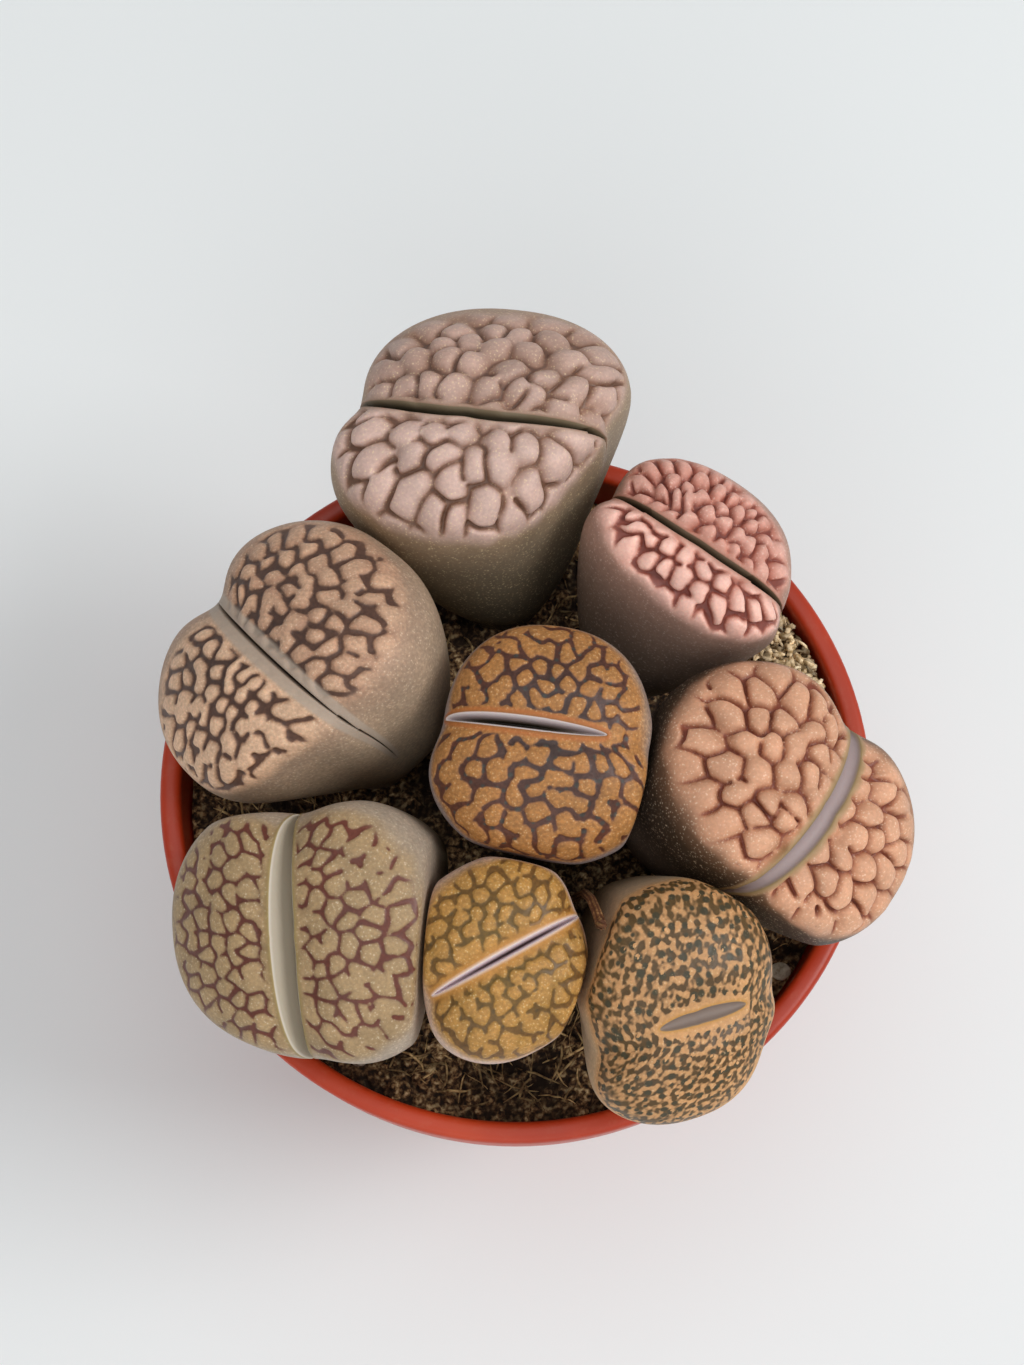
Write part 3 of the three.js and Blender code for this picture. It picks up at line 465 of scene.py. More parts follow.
def body_point(plant, s, cos, sin):
    """Places on the body and the way out from it. s is 1 at the widest ring and 2 at the neck."""
    up, along, across = head_frame(plant)
    arc = np.minimum(s, 1) * math.pi / 2
    down = np.clip(s - 1, 0, 1)
    shoulder = np.array(plant["head"], float) - up * plant["cap"]
    neck_x, neck_y, neck_radius = plant["neck"]
    neck = np.array([neck_x, neck_y, SOIL_TOP + COLLAR])
    pull = np.linalg.norm(shoulder - neck)
    axis = (np.outer(2 * down ** 3 - 3 * down ** 2 + 1, shoulder)
            - np.outer(down ** 3 - 2 * down ** 2 + down, up * pull)
            + np.outer(3 * down ** 2 - 2 * down ** 3, neck)
            - np.outer(down ** 3 - down ** 2, (0, 0, pull)))
    reach = np.sin(arc)
    x, y = outline_at(plant, cos, sin, reach)
    roll = math.hypot(1, SHOULDER_ROLL) - SHOULDER_ROLL
    head_share = 1 - (np.hypot(down, SHOULDER_ROLL) - SHOULDER_ROLL) / roll
    gape = math.radians(plant["gape"])
    fold = np.sqrt(y * y + FOLD_ROUNDING ** 2) - FOLD_ROUNDING
    crown = plant["cap"] * (1 - (1 - np.cos(arc)) ** CROWN_FLATNESS)
    height = crown - math.tan(gape) * fold * head_share
    level = (down * down * (3 - 2 * down))[:, None]
    level_along = unit(along * (1, 1, 0))
    level_across = np.array([-level_along[1], level_along[0], 0])
    side_along = unit(along + (level_along - along) * level)
    side_across = unit(across + (level_across - across) * level)
    x = x * head_share + neck_radius * cos * reach * (1 - head_share)
    y = y * math.cos(gape) * head_share + neck_radius * sin * reach * (1 - head_share)
    height = height * np.where(down > 0, head_share, 1)
    point = axis + side_along * x[:, None] + side_across * y[:, None] + np.outer(height, up)
    outward = (np.outer(np.cos(arc), up) + side_along * (cos * np.sin(arc))[:, None]
               + side_across * (sin * np.sin(arc))[:, None])
    return point, outward


def fissure_at(plant, p):
    """The fissure at place p along it: its middle line, the band of skin that sinks in, half its
    opening, its depth and its lean."""
    opening, depth, length, middle, bow, lean = plant["slit"]
    _, width = mean_size(plant)
    swell = np.sqrt(np.clip(1 - ((p - middle) / length) ** 2, 0, None))
    core = bow / width * np.clip(1 - p * p, 0, None)
    half = opening / (width * math.pi / 2) * swell
    return core, FISSURE_BAND * swell, half, depth * swell ** 0.7, lean * half


def skin(plant, p, q, rise):
    """Places of the skin; how deep each has sunk into the fissure; its place across it."""
    up, along, _ = head_frame(plant)
    core, band, half, depth, lean = fissure_at(plant, p)
    offset = np.abs(q - core)
    inside = (band > 0) & (offset < band)
    share = np.where(band > 0, np.minimum(offset / np.maximum(band, 1e-9), 1), 1)
    squeezed = np.where(inside, half * share,
                        offset - (band - half) * np.exp(-np.clip(offset - band, 0, None) / 0.25))
    across = core + np.where(inside, lean * (1 - share ** 2), 0) + np.sign(q - core) * squeezed
    s = np.hypot(p, across)
    heading = np.arctan2(across, p)
    point, outward = body_point(plant, s, np.cos(heading), np.sin(heading))
    crown = np.cos(np.minimum(s, 1) * math.pi / 2) ** 0.6 * smoothstep(0, CROWN_EDGE, 1 - s)
    past = np.clip(squeezed - half, 0, None)
    swell = plant["dome"] * crown * (1 - 0.7 * np.exp(-((past / LIP_ROUNDING) ** 2)))
    point += outward * (swell + rise)[:, None]
    arc = np.minimum(np.abs(p), 1) * math.pi / 2
    sink = np.where(inside, depth * np.clip(1 - share ** 2, 0, None) ** plant["wall"], 0)
    point -= np.outer(sink * np.cos(arc), up) + np.outer(sink * np.sin(arc) * np.sign(p), along)
    root = np.clip(s - 2, 0, None)[:, None] / (SHEET_END - 2)
    middle = np.array([plant["neck"][0], plant["neck"][1], 0])
    drop = np.array([0, 0, ROOT_DEPTH + COLLAR - GAP])
    point += root * ((middle - point) * (1, 1, 0) * ROOT_TAPER - drop)
    return point, sink, across


def head_reach(plant, toward):
    """How far the head reaches that way."""
    _, along, across = head_frame(plant)
    turn = math.atan2(toward.dot(across), toward.dot(along))
    return math.hypot(*outline_at(plant, np.array(math.cos(turn)), np.array(math.sin(turn)), 1))


def meeting(own, mate, level):
    """Where two plants meet, between their heads or between their necks."""
    def middle(plant):
        if level == "head":
            return np.array(plant["head"], float) - head_frame(plant)[0] * plant["cap"]
        return np.array([plant["neck"][0], plant["neck"][1], SOIL_TOP])

    toward = middle(mate) - middle(own)
    sizes = [head_reach(plant, way) if level == "head" else plant["neck"][2]
             for plant, way in ((own, toward), (mate, -toward))]
    return middle(own) + toward * sizes[0] / sum(sizes)


def pressed(name, point):
    """Flattens a body softly against the planes where it meets its neighbours."""
    own = PLANTS[name]
    for other, mate in PLANTS.items():
        if other == name:
            continue
        head, neck = (meeting(own, mate, level) for level in ("head", "neck"))
        apart = np.array(mate["head"], float) - np.array(own["head"], float)
        rising = head - neck
        normal = unit(np.cross(np.cross(rising, apart), rising))
        beyond = np.clip((point - head).dot(normal) + PRESS_GAP + PRESS_SOFTNESS, 0, None)
        kept = PRESS_SOFTNESS * (1 - np.exp(-beyond / PRESS_SOFTNESS))
        point = point + np.outer(kept - beyond, normal)
    return point


def unrolled(plant, p, across):
    """A place of the face laid out flat, in mm."""
    s = np.maximum(np.hypot(p, across), 1e-9)
    length, width = mean_size(plant)
    reach = UNROLLED * np.sin(np.minimum(UNROLL_TURN * s, math.pi / 2)) / s
    return reach * p * length, reach * across * width


def margin_at(plant, p, q):
    """How far down the head the islands go, on the side of the place."""
    turn = np.arctan2(q, p)
    waves = (1, np.cos(turn), np.sin(turn), np.cos(2 * turn), np.sin(2 * turn))
    return sum(share * wave for share, wave in zip(plant["margin"], waves))


def nearest_two(x, y, cell, seed):
    """Distances to the two nearest of many sites scattered a cell apart, and their numbers."""
    row_gap = cell * 0.87
    count = int(2 * NET_REACH / row_gap) + 6
    shake = np.random.default_rng(seed).uniform(-0.3, 0.3, (2, count, count))
    row = np.floor((y + NET_REACH) / row_gap).astype(int)
    column = np.floor((x + NET_REACH) / cell).astype(int)
    first, second = np.full(x.shape, 99.0), np.full(x.shape, 99.0)
    own, other = np.zeros(x.shape, int), np.zeros(x.shape, int)
    for step_y in range(-2, 3):
        for step_x in range(-2, 3):
            i, j = column + step_x, row + step_y
            site_x = (i + 0.25 + j % 2 * 0.5 + shake[0, j, i]) * cell - NET_REACH
            site_y = (j + 0.5 + shake[1, j, i]) * row_gap - NET_REACH
            far, number = np.hypot(x - site_x, y - site_y), j * count + i
            nearer, near = far < first, far < second
            other = np.where(nearer, own, np.where(near, number, other))
            second = np.where(nearer, first, np.where(near, far, second))
            own = np.where(nearer, number, own)
            first = np.where(nearer, far, first)
    return first, second, own, other


def blurred(picture, size):
    """A picture softened by a bell of that size, in mm."""
    down = 2 * math.pi * np.fft.fftfreq(len(picture), NET_STEP)[:, None]
    right = 2 * math.pi * np.fft.rfftfreq(len(picture), NET_STEP)
    bell = np.exp(-0.5 * size ** 2 * (down ** 2 + right ** 2))
    return np.fft.irfft2(np.fft.rfft2(picture) * bell, s=picture.shape)


def painted_net(plant):
    """The face laid out flat, a cell NET_STEP mm wide: the channels between lobes, the shade
    at their sides (painted shade in the colour, and a dip in the relief), the lobes' domes and
    their tones (a random tone per lobe, but mostly painted highlight on each dome's top). Some
    channels are missing, so that lobes join, and some stop short."""
    seed, cell, soft = plant["seed"], plant["cell"], plant["soft"]
    side = np.arange(-NET_REACH, NET_REACH, NET_STEP)
    x, y = np.meshgrid(side, side)
    length, width = mean_size(plant)
    s = np.arcsin(np.clip(np.hypot(x / length, y / width) / UNROLLED, 0, 1)) / UNROLL_TURN
    pull = 1 - RAYS * smoothstep(0.25, 0.85, s)
    bent = [place * pull + 0.07 * cell * ripples(x, y, cell * 1.3, seed + turn)
            for turn, place in ((1, x), (3, y))]
    first, second, own, other = nearest_two(*bent, cell, seed)
    chances = np.random.default_rng(seed + 5).random(CHANCES)
    kept = (chances[(own * other * 7 + own + other) % CHANCES]
            + 0.35 * ripples(x, y, cell * 1.1, seed + 6))
    half = plant["channel"] / 2 * (1 + 0.25 * ripples(x, y, cell * 1.5, seed + 8))
    half = half * (1 + plant["window"] * (0.45 - s) * 2)
    channel = blurred(((second - first) / 2 < half) & (kept < plant["whole"]), soft)
    shade = blurred(channel > 0.5, 1.5 * soft)
    dome = blurred(np.sqrt(np.clip(1 - (first / (0.62 * cell)) ** 2, 0, 1)), 0.1 * cell)
    # the tone: a quarter random per lobe, three quarters painted highlight, paler at each dome's
    # top
    tone = 0.25 * blurred(chances[own % CHANCES], 0.15 * cell) + 0.75 * dome
    return channel, shade, dome, tone


def sampled(picture, x, y):
    """A picture's values at places in mm, straight between its cells."""
    across = np.clip((x + NET_REACH) / NET_STEP, 0, len(picture) - 2)
    down = np.clip((y + NET_REACH) / NET_STEP, 0, len(picture) - 2)
    i, j = across.astype(int), down.astype(int)
    right, below = across - i, down - j
    top = picture[j, i] * (1 - right) + picture[j, i + 1] * right
    bottom = picture[j + 1, i] * (1 - right) + picture[j + 1, i + 1] * right
    return top * (1 - below) + bottom * below


def mottled_channels(plant, x, y, s, turn, fade, lip):
    """Dark mottling: patches drawn out along the radius near the margin."""
    seed = plant["seed"]
    length, width = mean_size(plant)
    inner = (ripples(x, y, 1.2, seed, 14) + 0.7 * ripples(x, y, 0.7, seed + 1, 14)
             + 0.3 * ripples(x, y, 0.42, seed + 2, 14))
    radial, round_about = s * (length + width) / 2 * 0.5, turn * (length + width) / 2 * 0.85
    outer = (ripples(radial, round_about, 0.95, seed + 3, 14)
             + 0.6 * ripples(radial, round_about, 0.55, seed + 4, 14))
    rays = smoothstep(0.4, 0.75, s)
    field = inner * (1 - rays) + outer * rays
    return field * 0.28 - (1 - fade) * 0.9 - 0.15 * np.exp(-((lip / 0.6) ** 2))


def dots(plant, x, y):
    """How far inside a round dot each place is, in mm."""
    random = np.random.default_rng(plant["seed"] + 30)
    count = int(2 * DOT_FIELD / DOT_CELL)
    jitter = random.uniform(0.15, 0.85, (count, count, 2))
    sizes = plant["dot"] * random.uniform(0.6, 1.25, (count, count))
    sizes = sizes * (random.random((count, count)) < DOT_CHANCE)
    best = np.full_like(x, -1.0)
    for i, j, far in cells_round(x, y, DOT_FIELD, DOT_CELL, jitter):
        inside = np.where(sizes[i, j] > 0, sizes[i, j] - np.sqrt(far), -1)
        best = np.maximum(best, inside)
    return best


def spread_net(plant, net):
    """Spreads a square net over the sheet: places along the fissure and across it. Its middle
    rows are drawn together to line the fissure."""
    disc_x, disc_y = disc_places(net[:, 0], net[:, 1])
    reach = np.maximum(np.hypot(disc_x, disc_y), 1e-9)
    below = 1 + (reach - FACE_SHARE) / (1 - FACE_SHARE) * (SHEET_END - 1)
    s = np.where(reach < FACE_SHARE, reach / FACE_SHARE, below)
    p, q = disc_x / reach * s, disc_y / reach * s
    core, band, *_ = fissure_at(plant, p)
    row = np.abs(disc_y) / FACE_SHARE
    spread = np.abs(q) / np.maximum(row, 1e-9)
    band = np.maximum(band, 0.25 * SLIT_ROWS)
    beyond = np.clip(row - SLIT_ROWS, 0, None)
    offset = np.where(row < SLIT_ROWS, band * row / SLIT_ROWS,
                      row * spread + (band - SLIT_ROWS * spread) * np.exp(-beyond / 0.2))
    return p, core * np.exp(-((beyond / 0.45) ** 2)) + np.sign(disc_y) * offset


def past_lip(plant, p, across, sink):
    """How far each place is from the fissure's edge, in mm; below 0 is its depth inside."""
    core, _, half, *_ = fissure_at(plant, p)
    _, _, slit_length, middle, *_ = plant["slit"]
    length, width = mean_size(plant)
    beside = (np.abs(across - core) - half) * width * UNROLLED * UNROLL_TURN
    past = np.clip(np.abs(p - middle) - slit_length, 0, None) * length * UNROLLED * UNROLL_TURN
    lip = np.where(past > 0, np.hypot(past, beside), beside)
    return np.where(sink > 0, -sink, np.maximum(lip, 0))


def build_lithops(name, finish):
    """One plant: a square net of skin is spread over the sheet and moved onto the body."""
    plant = PLANTS[name]
    shape = bmesh.new()
    bmesh.ops.create_grid(shape, x_segments=plant["net"], y_segments=plant["net"], size=1)
    bmesh.ops.holes_fill(shape, edges=[edge for edge in shape.edges if edge.is_boundary])
    piece = make_piece(name + "_body", shape, finish)
    p, q = spread_net(plant, places_of(piece.data))
    _, sink, across = skin(plant, p, q, 0)
    core, *_ = fissure_at(plant, p)
    s = np.hypot(p, across)
    x, y = unrolled(plant, p, across)
    margin = margin_at(plant, p, across) + 0.02 * ripples(x, y, 4.0, plant["seed"] + 20)
    lip = past_lip(plant, p, across, sink)
    bare = np.where(across > core, *plant["bare"])
    fade = smoothstep(margin + 0.1, margin, s) * smoothstep(bare, bare + 0.8, lip)
    if name == "lithops_spotted":
        channel = mottled_channels(plant, x, y, s, np.arctan2(q, p), fade, lip)
        shade, dome, tone = np.clip(channel + 0.5, 0, 1), np.ones_like(x), np.full_like(x, 0.5)
    else:
        channel, shade, dome, tone = (sampled(picture, x, y) for picture in painted_net(plant))
        channel = channel - 0.5 - (1 - fade)
        shade = np.clip(1.6 * shade, 0, 1) * fade
    lobes = dome * plant["round"] + (1 - plant["round"])
    swollen = 1.2 * lobes * (1 - 0.85 * shade) - 1.0
    on_face = smoothstep(margin + 0.12, margin - 0.1, s) * smoothstep(0.0, 0.9, lip)
    point, *_ = skin(plant, p, q, plant["relief"] * swollen * on_face)
    move_places(piece.data, pressed(name, point) * MM)
    # tone is mostly painted highlight on the lobes' tops; shade is painted shade down their sides
    marks = {
        "channel": channel, "shade": shade, "far": s, "lip": lip,
        "dot": np.where(channel > -0.3, dots(plant, x, y), -1) - (1 - fade),
        "face": smoothstep(margin + 0.17, margin, s),
        # paler: painted light, the front leaf is painted paler as if more light fell on it
        "tone": tone + plant["paler"] * np.where(across < core, 0.5, -0.5),
    }
    for mark, values in marks.items():
        store(piece.data, mark, values)
    return piece


MULTIPLY = {"data_type": "RGBA", "blend_type": "MULTIPLY"}
LIP_RANGE = (-6.0, 2.0)  # from the deepest place in a slit to plain skin, in mm


def lithops_skin(name, look):
    """Living, waxy leaf skin: matt islands, darker translucent channels, fine pale specks;
    painted highlight on the islands' tops and painted shade down their sides, at the foot and
    deep in the slit.
    """
    made, tree, shader, place = new_material(name)
    black, white = (0, 0, 0, 1), (1, 1, 1, 1)
    fine = add(tree, "ShaderNodeTexNoise", None,
               {"Vector": place, "Scale": 2.6 / MM, "Detail": 3.0})
    broad = add(tree, "ShaderNodeTexNoise", None, {"Vector": place, "Scale": 0.2 / MM})
    specks = add(tree, "ShaderNodeTexVoronoi", None, {"Vector": place, "Scale": 3 / MM})
    mark = {kind: add(tree, "ShaderNodeAttribute", {"attribute_name": kind}, output="Fac")
            for kind in ("channel", "shade", "far", "lip", "dot", "face", "tone")}
    dot_colour, dot_strength = look.get("dots", (black, 0))
    lowest, highest = LIP_RANGE
    ranges = {  # what is read, the range of it, and the colours from its low end to its high end
        "edge": (mark["shade"], 0.1, 0.8, (black, white)),
        "inside": (mark["channel"], *look["soft"], (black, white)),
        "window": (mark["far"], 0.1, 0.65, look["channel"]),
        "dots": (mark["dot"], -0.08, 0.08, (black, (*(dot_strength,) * 3, 1))),
        "flank": (mark["far"], 0.6, 2.0, look["flank"]),
        "cloud": (broad, 0.3, 0.7, ((0.88, 0.88, 0.88, 1), (1.08, 1.06, 1.05, 1))),
        "speck": (specks, 0.14, 0.42, (white, black)),
        "picked": (fine, 0.45, 0.6, (black, white)),
        "wax": (mark["channel"], -0.3, 0.3, ((0.55, 0.55, 0.55, 1), (0.4, 0.4, 0.4, 1))),
    }
    tint = {}
    for part, (value, low, high, colours) in ranges.items():
        share = add(tree, "ShaderNodeMapRange", None, {0: value, 1: low, 2: high})
        stops = [(step / (len(colours) - 1), colour) for step, colour in enumerate(colours)]
        tint[part] = add(tree, "ShaderNodeValToRGB", None, {0: share}, stops)
    # the slit's colours: its own near the edge, in most plants darkening to painted shade towards
    # the bottom
    share = add(tree, "ShaderNodeMapRange", None, {0: mark["lip"], 1: lowest, 2: highest})
    lip = add(tree, "ShaderNodeValToRGB", None, {0: share},
              [((at - lowest) / (highest - lowest), linear(tone)[:3] + (strength,))
               for at, tone, strength in look["lip"]])
    grain = add(tree, "ShaderNodeValToRGB", None, {0: fine},
                [(0.32, (0.62, 0.6, 0.58, 1)), (0.5, white), (0.66, (1.4, 1.37, 1.3, 1))])

    # the islands' two tones, mixed by tone: the pale one is mostly painted highlight on their tops
    dark, pale = look["island"]
    colour = add(tree, "ShaderNodeMix", MIX, {0: mark["tone"], 6: dark, 7: pale}, output=2)
    # edge: painted shade down the islands' sides next to the channels
    face_layers = [
        (tint["edge"], look["edge"]), (tint["inside"], tint["window"]), (tint["dots"], dot_colour),
    ]
    for share, over in face_layers:
        colour = add(tree, "ShaderNodeMix", MIX, {0: share, 6: colour, 7: over}, output=2)
    # below the face, the flank ramp: the skin's own colours, darkening towards the foot as painted
    # shade
    colour = add(tree, "ShaderNodeMix", MIX,
                 {0: mark["face"], 6: tint["flank"], 7: colour}, output=2)
    bright = add(tree, "ShaderNodeMix", MULTIPLY,
                 {0: 1.0, 6: tint["speck"], 7: tint["picked"]}, output=2)
    bright = add(tree, "ShaderNodeMix", MIX,
                 {0: look["speck"][1], 6: black, 7: bright}, output=2)
    bright = add(tree, "ShaderNodeMix", MIX, {0: tint["inside"], 6: bright, 7: black}, output=2)
    layers_on_all = [
        (MULTIPLY, 1.0, tint["cloud"]), (MULTIPLY, look["grain"], grain),
        (MIX, bright, look["speck"][0]), (MIX, lip.node.outputs["Alpha"], lip),
    ]
    for way, share, over in layers_on_all:
        colour = add(tree, "ShaderNodeMix", way, {0: share, 6: colour, 7: over}, output=2)
    tree.links.new(colour, shader.inputs["Base Color"])
    tree.links.new(tint["wax"], shader.inputs["Roughness"])
    bump = add(tree, "ShaderNodeBump", None,
               {"Strength": 0.35, "Distance": 0.08 * MM, "Height": fine})
    tree.links.new(bump, shader.inputs["Normal"])
    shader.inputs["IOR"].default_value = 1.42
    shader.inputs["Subsurface Weight"].default_value = 0.1
    shader.inputs["Subsurface Radius"].default_value = (1.0, 0.45, 0.25)
    shader.inputs["Subsurface Scale"].default_value = 0.6 * MM
    return made


# island: two tones, mixed mostly as painted highlight, pale on the islands' tops; edge: painted
# shade down their sides; channel: middle of the face and margin; flank: from the shoulder to
# the foot, the skin's own colours, and where they darken towards the foot, painted shade; soft:
# the marks between which an island turns into a channel; dots: colour and strength of the
# window dots; grain: strength of the fine grain; speck: colour and strength of the pale specks;
# lip: place from the slit's edge in mm (below 0: depth inside it), colour and strength, in most
# plants darkening to painted shade deep in the slit.
LOOKS = {
    "lithops_back": dict(
        island=("#a07e6c", "#d4b6aa"), edge="#9a7460", channel=("#6b5248", "#745442"),
        flank=("#ab8c74", "#a0886e", "#857560", "#6f6350", "#5a5142", "#3d362b"),
        soft=(-0.3, 0.3), grain=0.2, speck=("#f0dcb0", 0.6),
        lip=[(-4, "#1c1710", 1), (-1.6, "#4c4434", 1), (-0.1, "#7a6a52", 1),
             (0.0, "#9a7c66", 0.9), (0.5, "#a58873", 0.4), (1.0, "#a58873", 0)]),
    "lithops_cobbled": dict(
        island=("#c68674", "#f8c6b6"), edge="#ac6452", channel=("#783e34", "#824337"),
        flank=("#b08a7a", "#ac8a7a", "#a08575", "#806e60", "#66584e", "#463c36"),
        soft=(-0.3, 0.3), grain=0.2, speck=("#f2dccc", 0.5),
        lip=[(-4, "#1a130e", 1), (-1.4, "#473c2c", 1), (-0.1, "#6b553f", 1),
             (0.0, "#9a6a55", 0.8), (0.5, "#b47a66", 0.4), (1.0, "#b47a66", 0)]),
    "lithops_tan": dict(
        island=("#b68e74", "#deb898"), edge="#a47e64", channel=("#523c32", "#5f4336"),
        flank=("#ac8c74", "#a8907a", "#b09a82", "#b6a28a", "#b4a088", "#9c8a76"),
        soft=(-0.2, 0.2), dots=("#3f3331", 0.3), grain=0.4, speck=("#ecd8bc", 0.5),
        lip=[(-4, "#1c1411", 1), (-2.4, "#5a4a3e", 1), (-1.0, "#8f8072", 1),
             (0.0, "#a89888", 0.9), (1.2, "#b0a090", 0.8), (1.6, "#a0907e", 0)]),
    "lithops_centre": dict(
        island=("#a06e3a", "#b17c45"), edge="#a47040", channel=("#40302c", "#5c3424"),
        flank=("#a98a6c", "#9a8c88", "#8a8086", "#4a4038", "#261f19", "#120e0a"),
        soft=(-0.2, 0.2), dots=("#39413e", 0.7), grain=0.6, speck=("#e6c898", 0.5),
        lip=[(-2.6, "#15100a", 1), (-2.3, "#2c2312", 1), (-2.0, "#75685f", 1),
             (-1.5, "#b0a2a0", 1), (-0.8, "#d2c6c6", 1), (-0.1, "#ece2df", 1),
             (0.0, "#9a6230", 0.9), (0.3, "#b8642c", 0.6), (0.7, "#b8622a", 0)]),
    "lithops_salmon": dict(
        island=("#bc896a", "#dfaa88"), edge="#a06448", channel=("#7c4030", "#854633"),
        flank=("#84624a", "#433323", "#3b2f24", "#7c6c60", "#7a6a60", "#504438"),
        soft=(-0.3, 0.3), grain=0.2, speck=("#f8e2c6", 0.6),
        lip=[(-2, "#9c8a88", 1), (-0.5, "#a69492", 1), (-0.1, "#94806c", 1),
             (0.0, "#8f7a52", 1), (0.5, "#a98a62", 0.8), (0.9, "#a98a62", 0)]),
    "lithops_grey": dict(
        island=("#99805e", "#b0946c"), edge="#8c7050", channel=("#60352a", "#6b382a"),
        flank=("#ab9880", "#b0a08e", "#aa9a88", "#96856c", "#75654f", "#4a3d2c"),
        soft=(-0.2, 0.2), grain=0.35, speck=("#e6d8be", 0.5),
        lip=[(-5, "#4a4234", 1), (-3.3, "#92866f", 1), (-2.4, "#b2a692", 1),
             (-0.3, "#b4a894", 1), (-0.05, "#d2c8b8", 1), (0.05, "#a08c58", 0.9),
             (0.3, "#8f7a4a", 0.5), (0.6, "#8f7a4a", 0)]),
    "lithops_gold": dict(
        island=("#a47b39", "#bd8d4b"), edge="#a67c3c", channel=("#6a5220", "#74522a"),
        flank=("#cba888", "#dcc0b0", "#c8b0ac", "#988878", "#6c5c4c", "#3a3024"),
        soft=(-0.2, 0.2), dots=("#454130", 0.4), grain=0.5, speck=("#f0dca8", 0.5),
        lip=[(-1.6, "#3c292c", 1), (-1.45, "#6a5456", 1), (-1.25, "#b8a4a8", 1),
             (-0.6, "#e6d4d8", 1), (-0.1, "#f4e8e6", 1), (0.05, "#e0c0a8", 0.9),
             (0.3, "#c88a44", 0.6), (0.7, "#c08036", 0.3), (1.2, "#c08036", 0)]),
    "lithops_spotted": dict(
        island=("#ce9c68", "#ce9c68"), edge="#b98c5f", channel=("#5a4428", "#5e4828"),
        flank=("#c09a6e", "#c8aa84", "#c2aa8c", "#b89c7c", "#9a8060", "#60503a"),
        soft=(-0.1, 0.1), dots=("#46402c", 1.0), grain=0.3, speck=("#f4dcb0", 0.35),
        lip=[(-3, "#6e6258", 1), (-0.3, "#8a7a70", 1), (-0.05, "#a08a70", 1),
             (0.0, "#c8944a", 0.8), (0.2, "#c08c44", 0.4), (0.35, "#c08c44", 0)]),
}

for plant_name in PLANTS:
    body = build_lithops(plant_name, lithops_skin(plant_name + "_leaf_skin", LOOKS[plant_name]))
    mount(body, plant_name)

# ---------------------------------------------------------------- loose fibres on the soil
# Coarse peat fibres and slivers of bark that lie over the crumbs wherever the soil is open.
# Each is a thin strand drawn along a bent path.
FIBRE_COUNT = 800
FIBRE_STEPS = 5
FIBRE_REACH = 37.5  # where the fibres start, at most
FIBRE_LIMIT = 38.2  # no fibre comes nearer to the wall
FIBRE_TAPER = np.array([0.5, 1, 1, 0.9, 0.7, 0.3])
IN_THE_WAY = [plant["neck"] for plant in PLANTS.values()] + LEVEL_PADS


def draw_strand(shape, path, radii, sides):
    """Pulls a ring of edges along a path, in mm, and closes both ends."""
    path = [Vector(point) * MM for point in path]
    first = bmesh.ops.create_circle(shape, cap_ends=True, radius=radii[0] * MM,
                                    segments=sides)["verts"]
    heading = (path[1] - path[0]).normalized()
    turn = Vector((0, 0, 1)).rotation_difference(heading)
    for corner in first:
        corner.co = path[0] + turn @ corner.co
    ring = list({edge for corner in first for edge in corner.link_edges})
    for step in range(1, len(path)):
        ahead = (path[min(step + 1, len(path) - 1)] - path[step - 1]).normalized()
        turn = heading.rotation_difference(ahead)
        pulled = bmesh.ops.extrude_edge_only(shape, edges=ring)["geom"]
        ring = [item for item in pulled if isinstance(item, bmesh.types.BMEdge)]
        growth = radii[step] / radii[step - 1]
        for corner in {corner for edge in ring for corner in edge.verts}:
            corner.co = path[step] + turn @ (corner.co - path[step - 1]) * growth
        heading = ahead
    bmesh.ops.holes_fill(shape, edges=ring)


def fibre_finish(name, dark, pale, scale):
    """Dry plant fibre: matt, streaked, each strand of its own tone."""
    made, tree, shader, place = new_material(name)
    streak = add(tree, "ShaderNodeTexNoise", None,
                 {"Vector": place, "Scale": scale, "Detail": 3.0})
    tone = add(tree, "ShaderNodeValToRGB", None, {0: streak}, [(0.35, dark), (0.62, pale)])
    own = add(tree, "ShaderNodeAttribute", {"attribute_name": "strand"}, output="Fac")
    shade = add(tree, "ShaderNodeValToRGB", None, {0: own},
                [(0, (0.35, 0.33, 0.3, 1)), (1, (1.3, 1.25, 1.15, 1))])
    colour = add(tree, "ShaderNodeMix", MULTIPLY, {0: 1.0, 6: tone, 7: shade}, output=2)
    tree.links.new(colour, shader.inputs["Base Color"])
    shader.inputs["Roughness"].default_value = 0.85
    return made


def strand_piece(name, finish, strands, sides):
    """One piece of many strands; each strand keeps a random tone."""
    shape = bmesh.new()
    ends = []
    for path, radii in strands:
        draw_strand(shape, path, radii, sides)
        ends.append(len(shape.verts))
    bmesh.ops.recalc_face_normals(shape, faces=shape.faces)
    piece = make_piece(name, shape, finish)
    tones = np.random.default_rng(len(strands)).random(len(strands))
    store(piece.data, "strand", np.repeat(tones, np.diff([0] + ends)))
    return piece


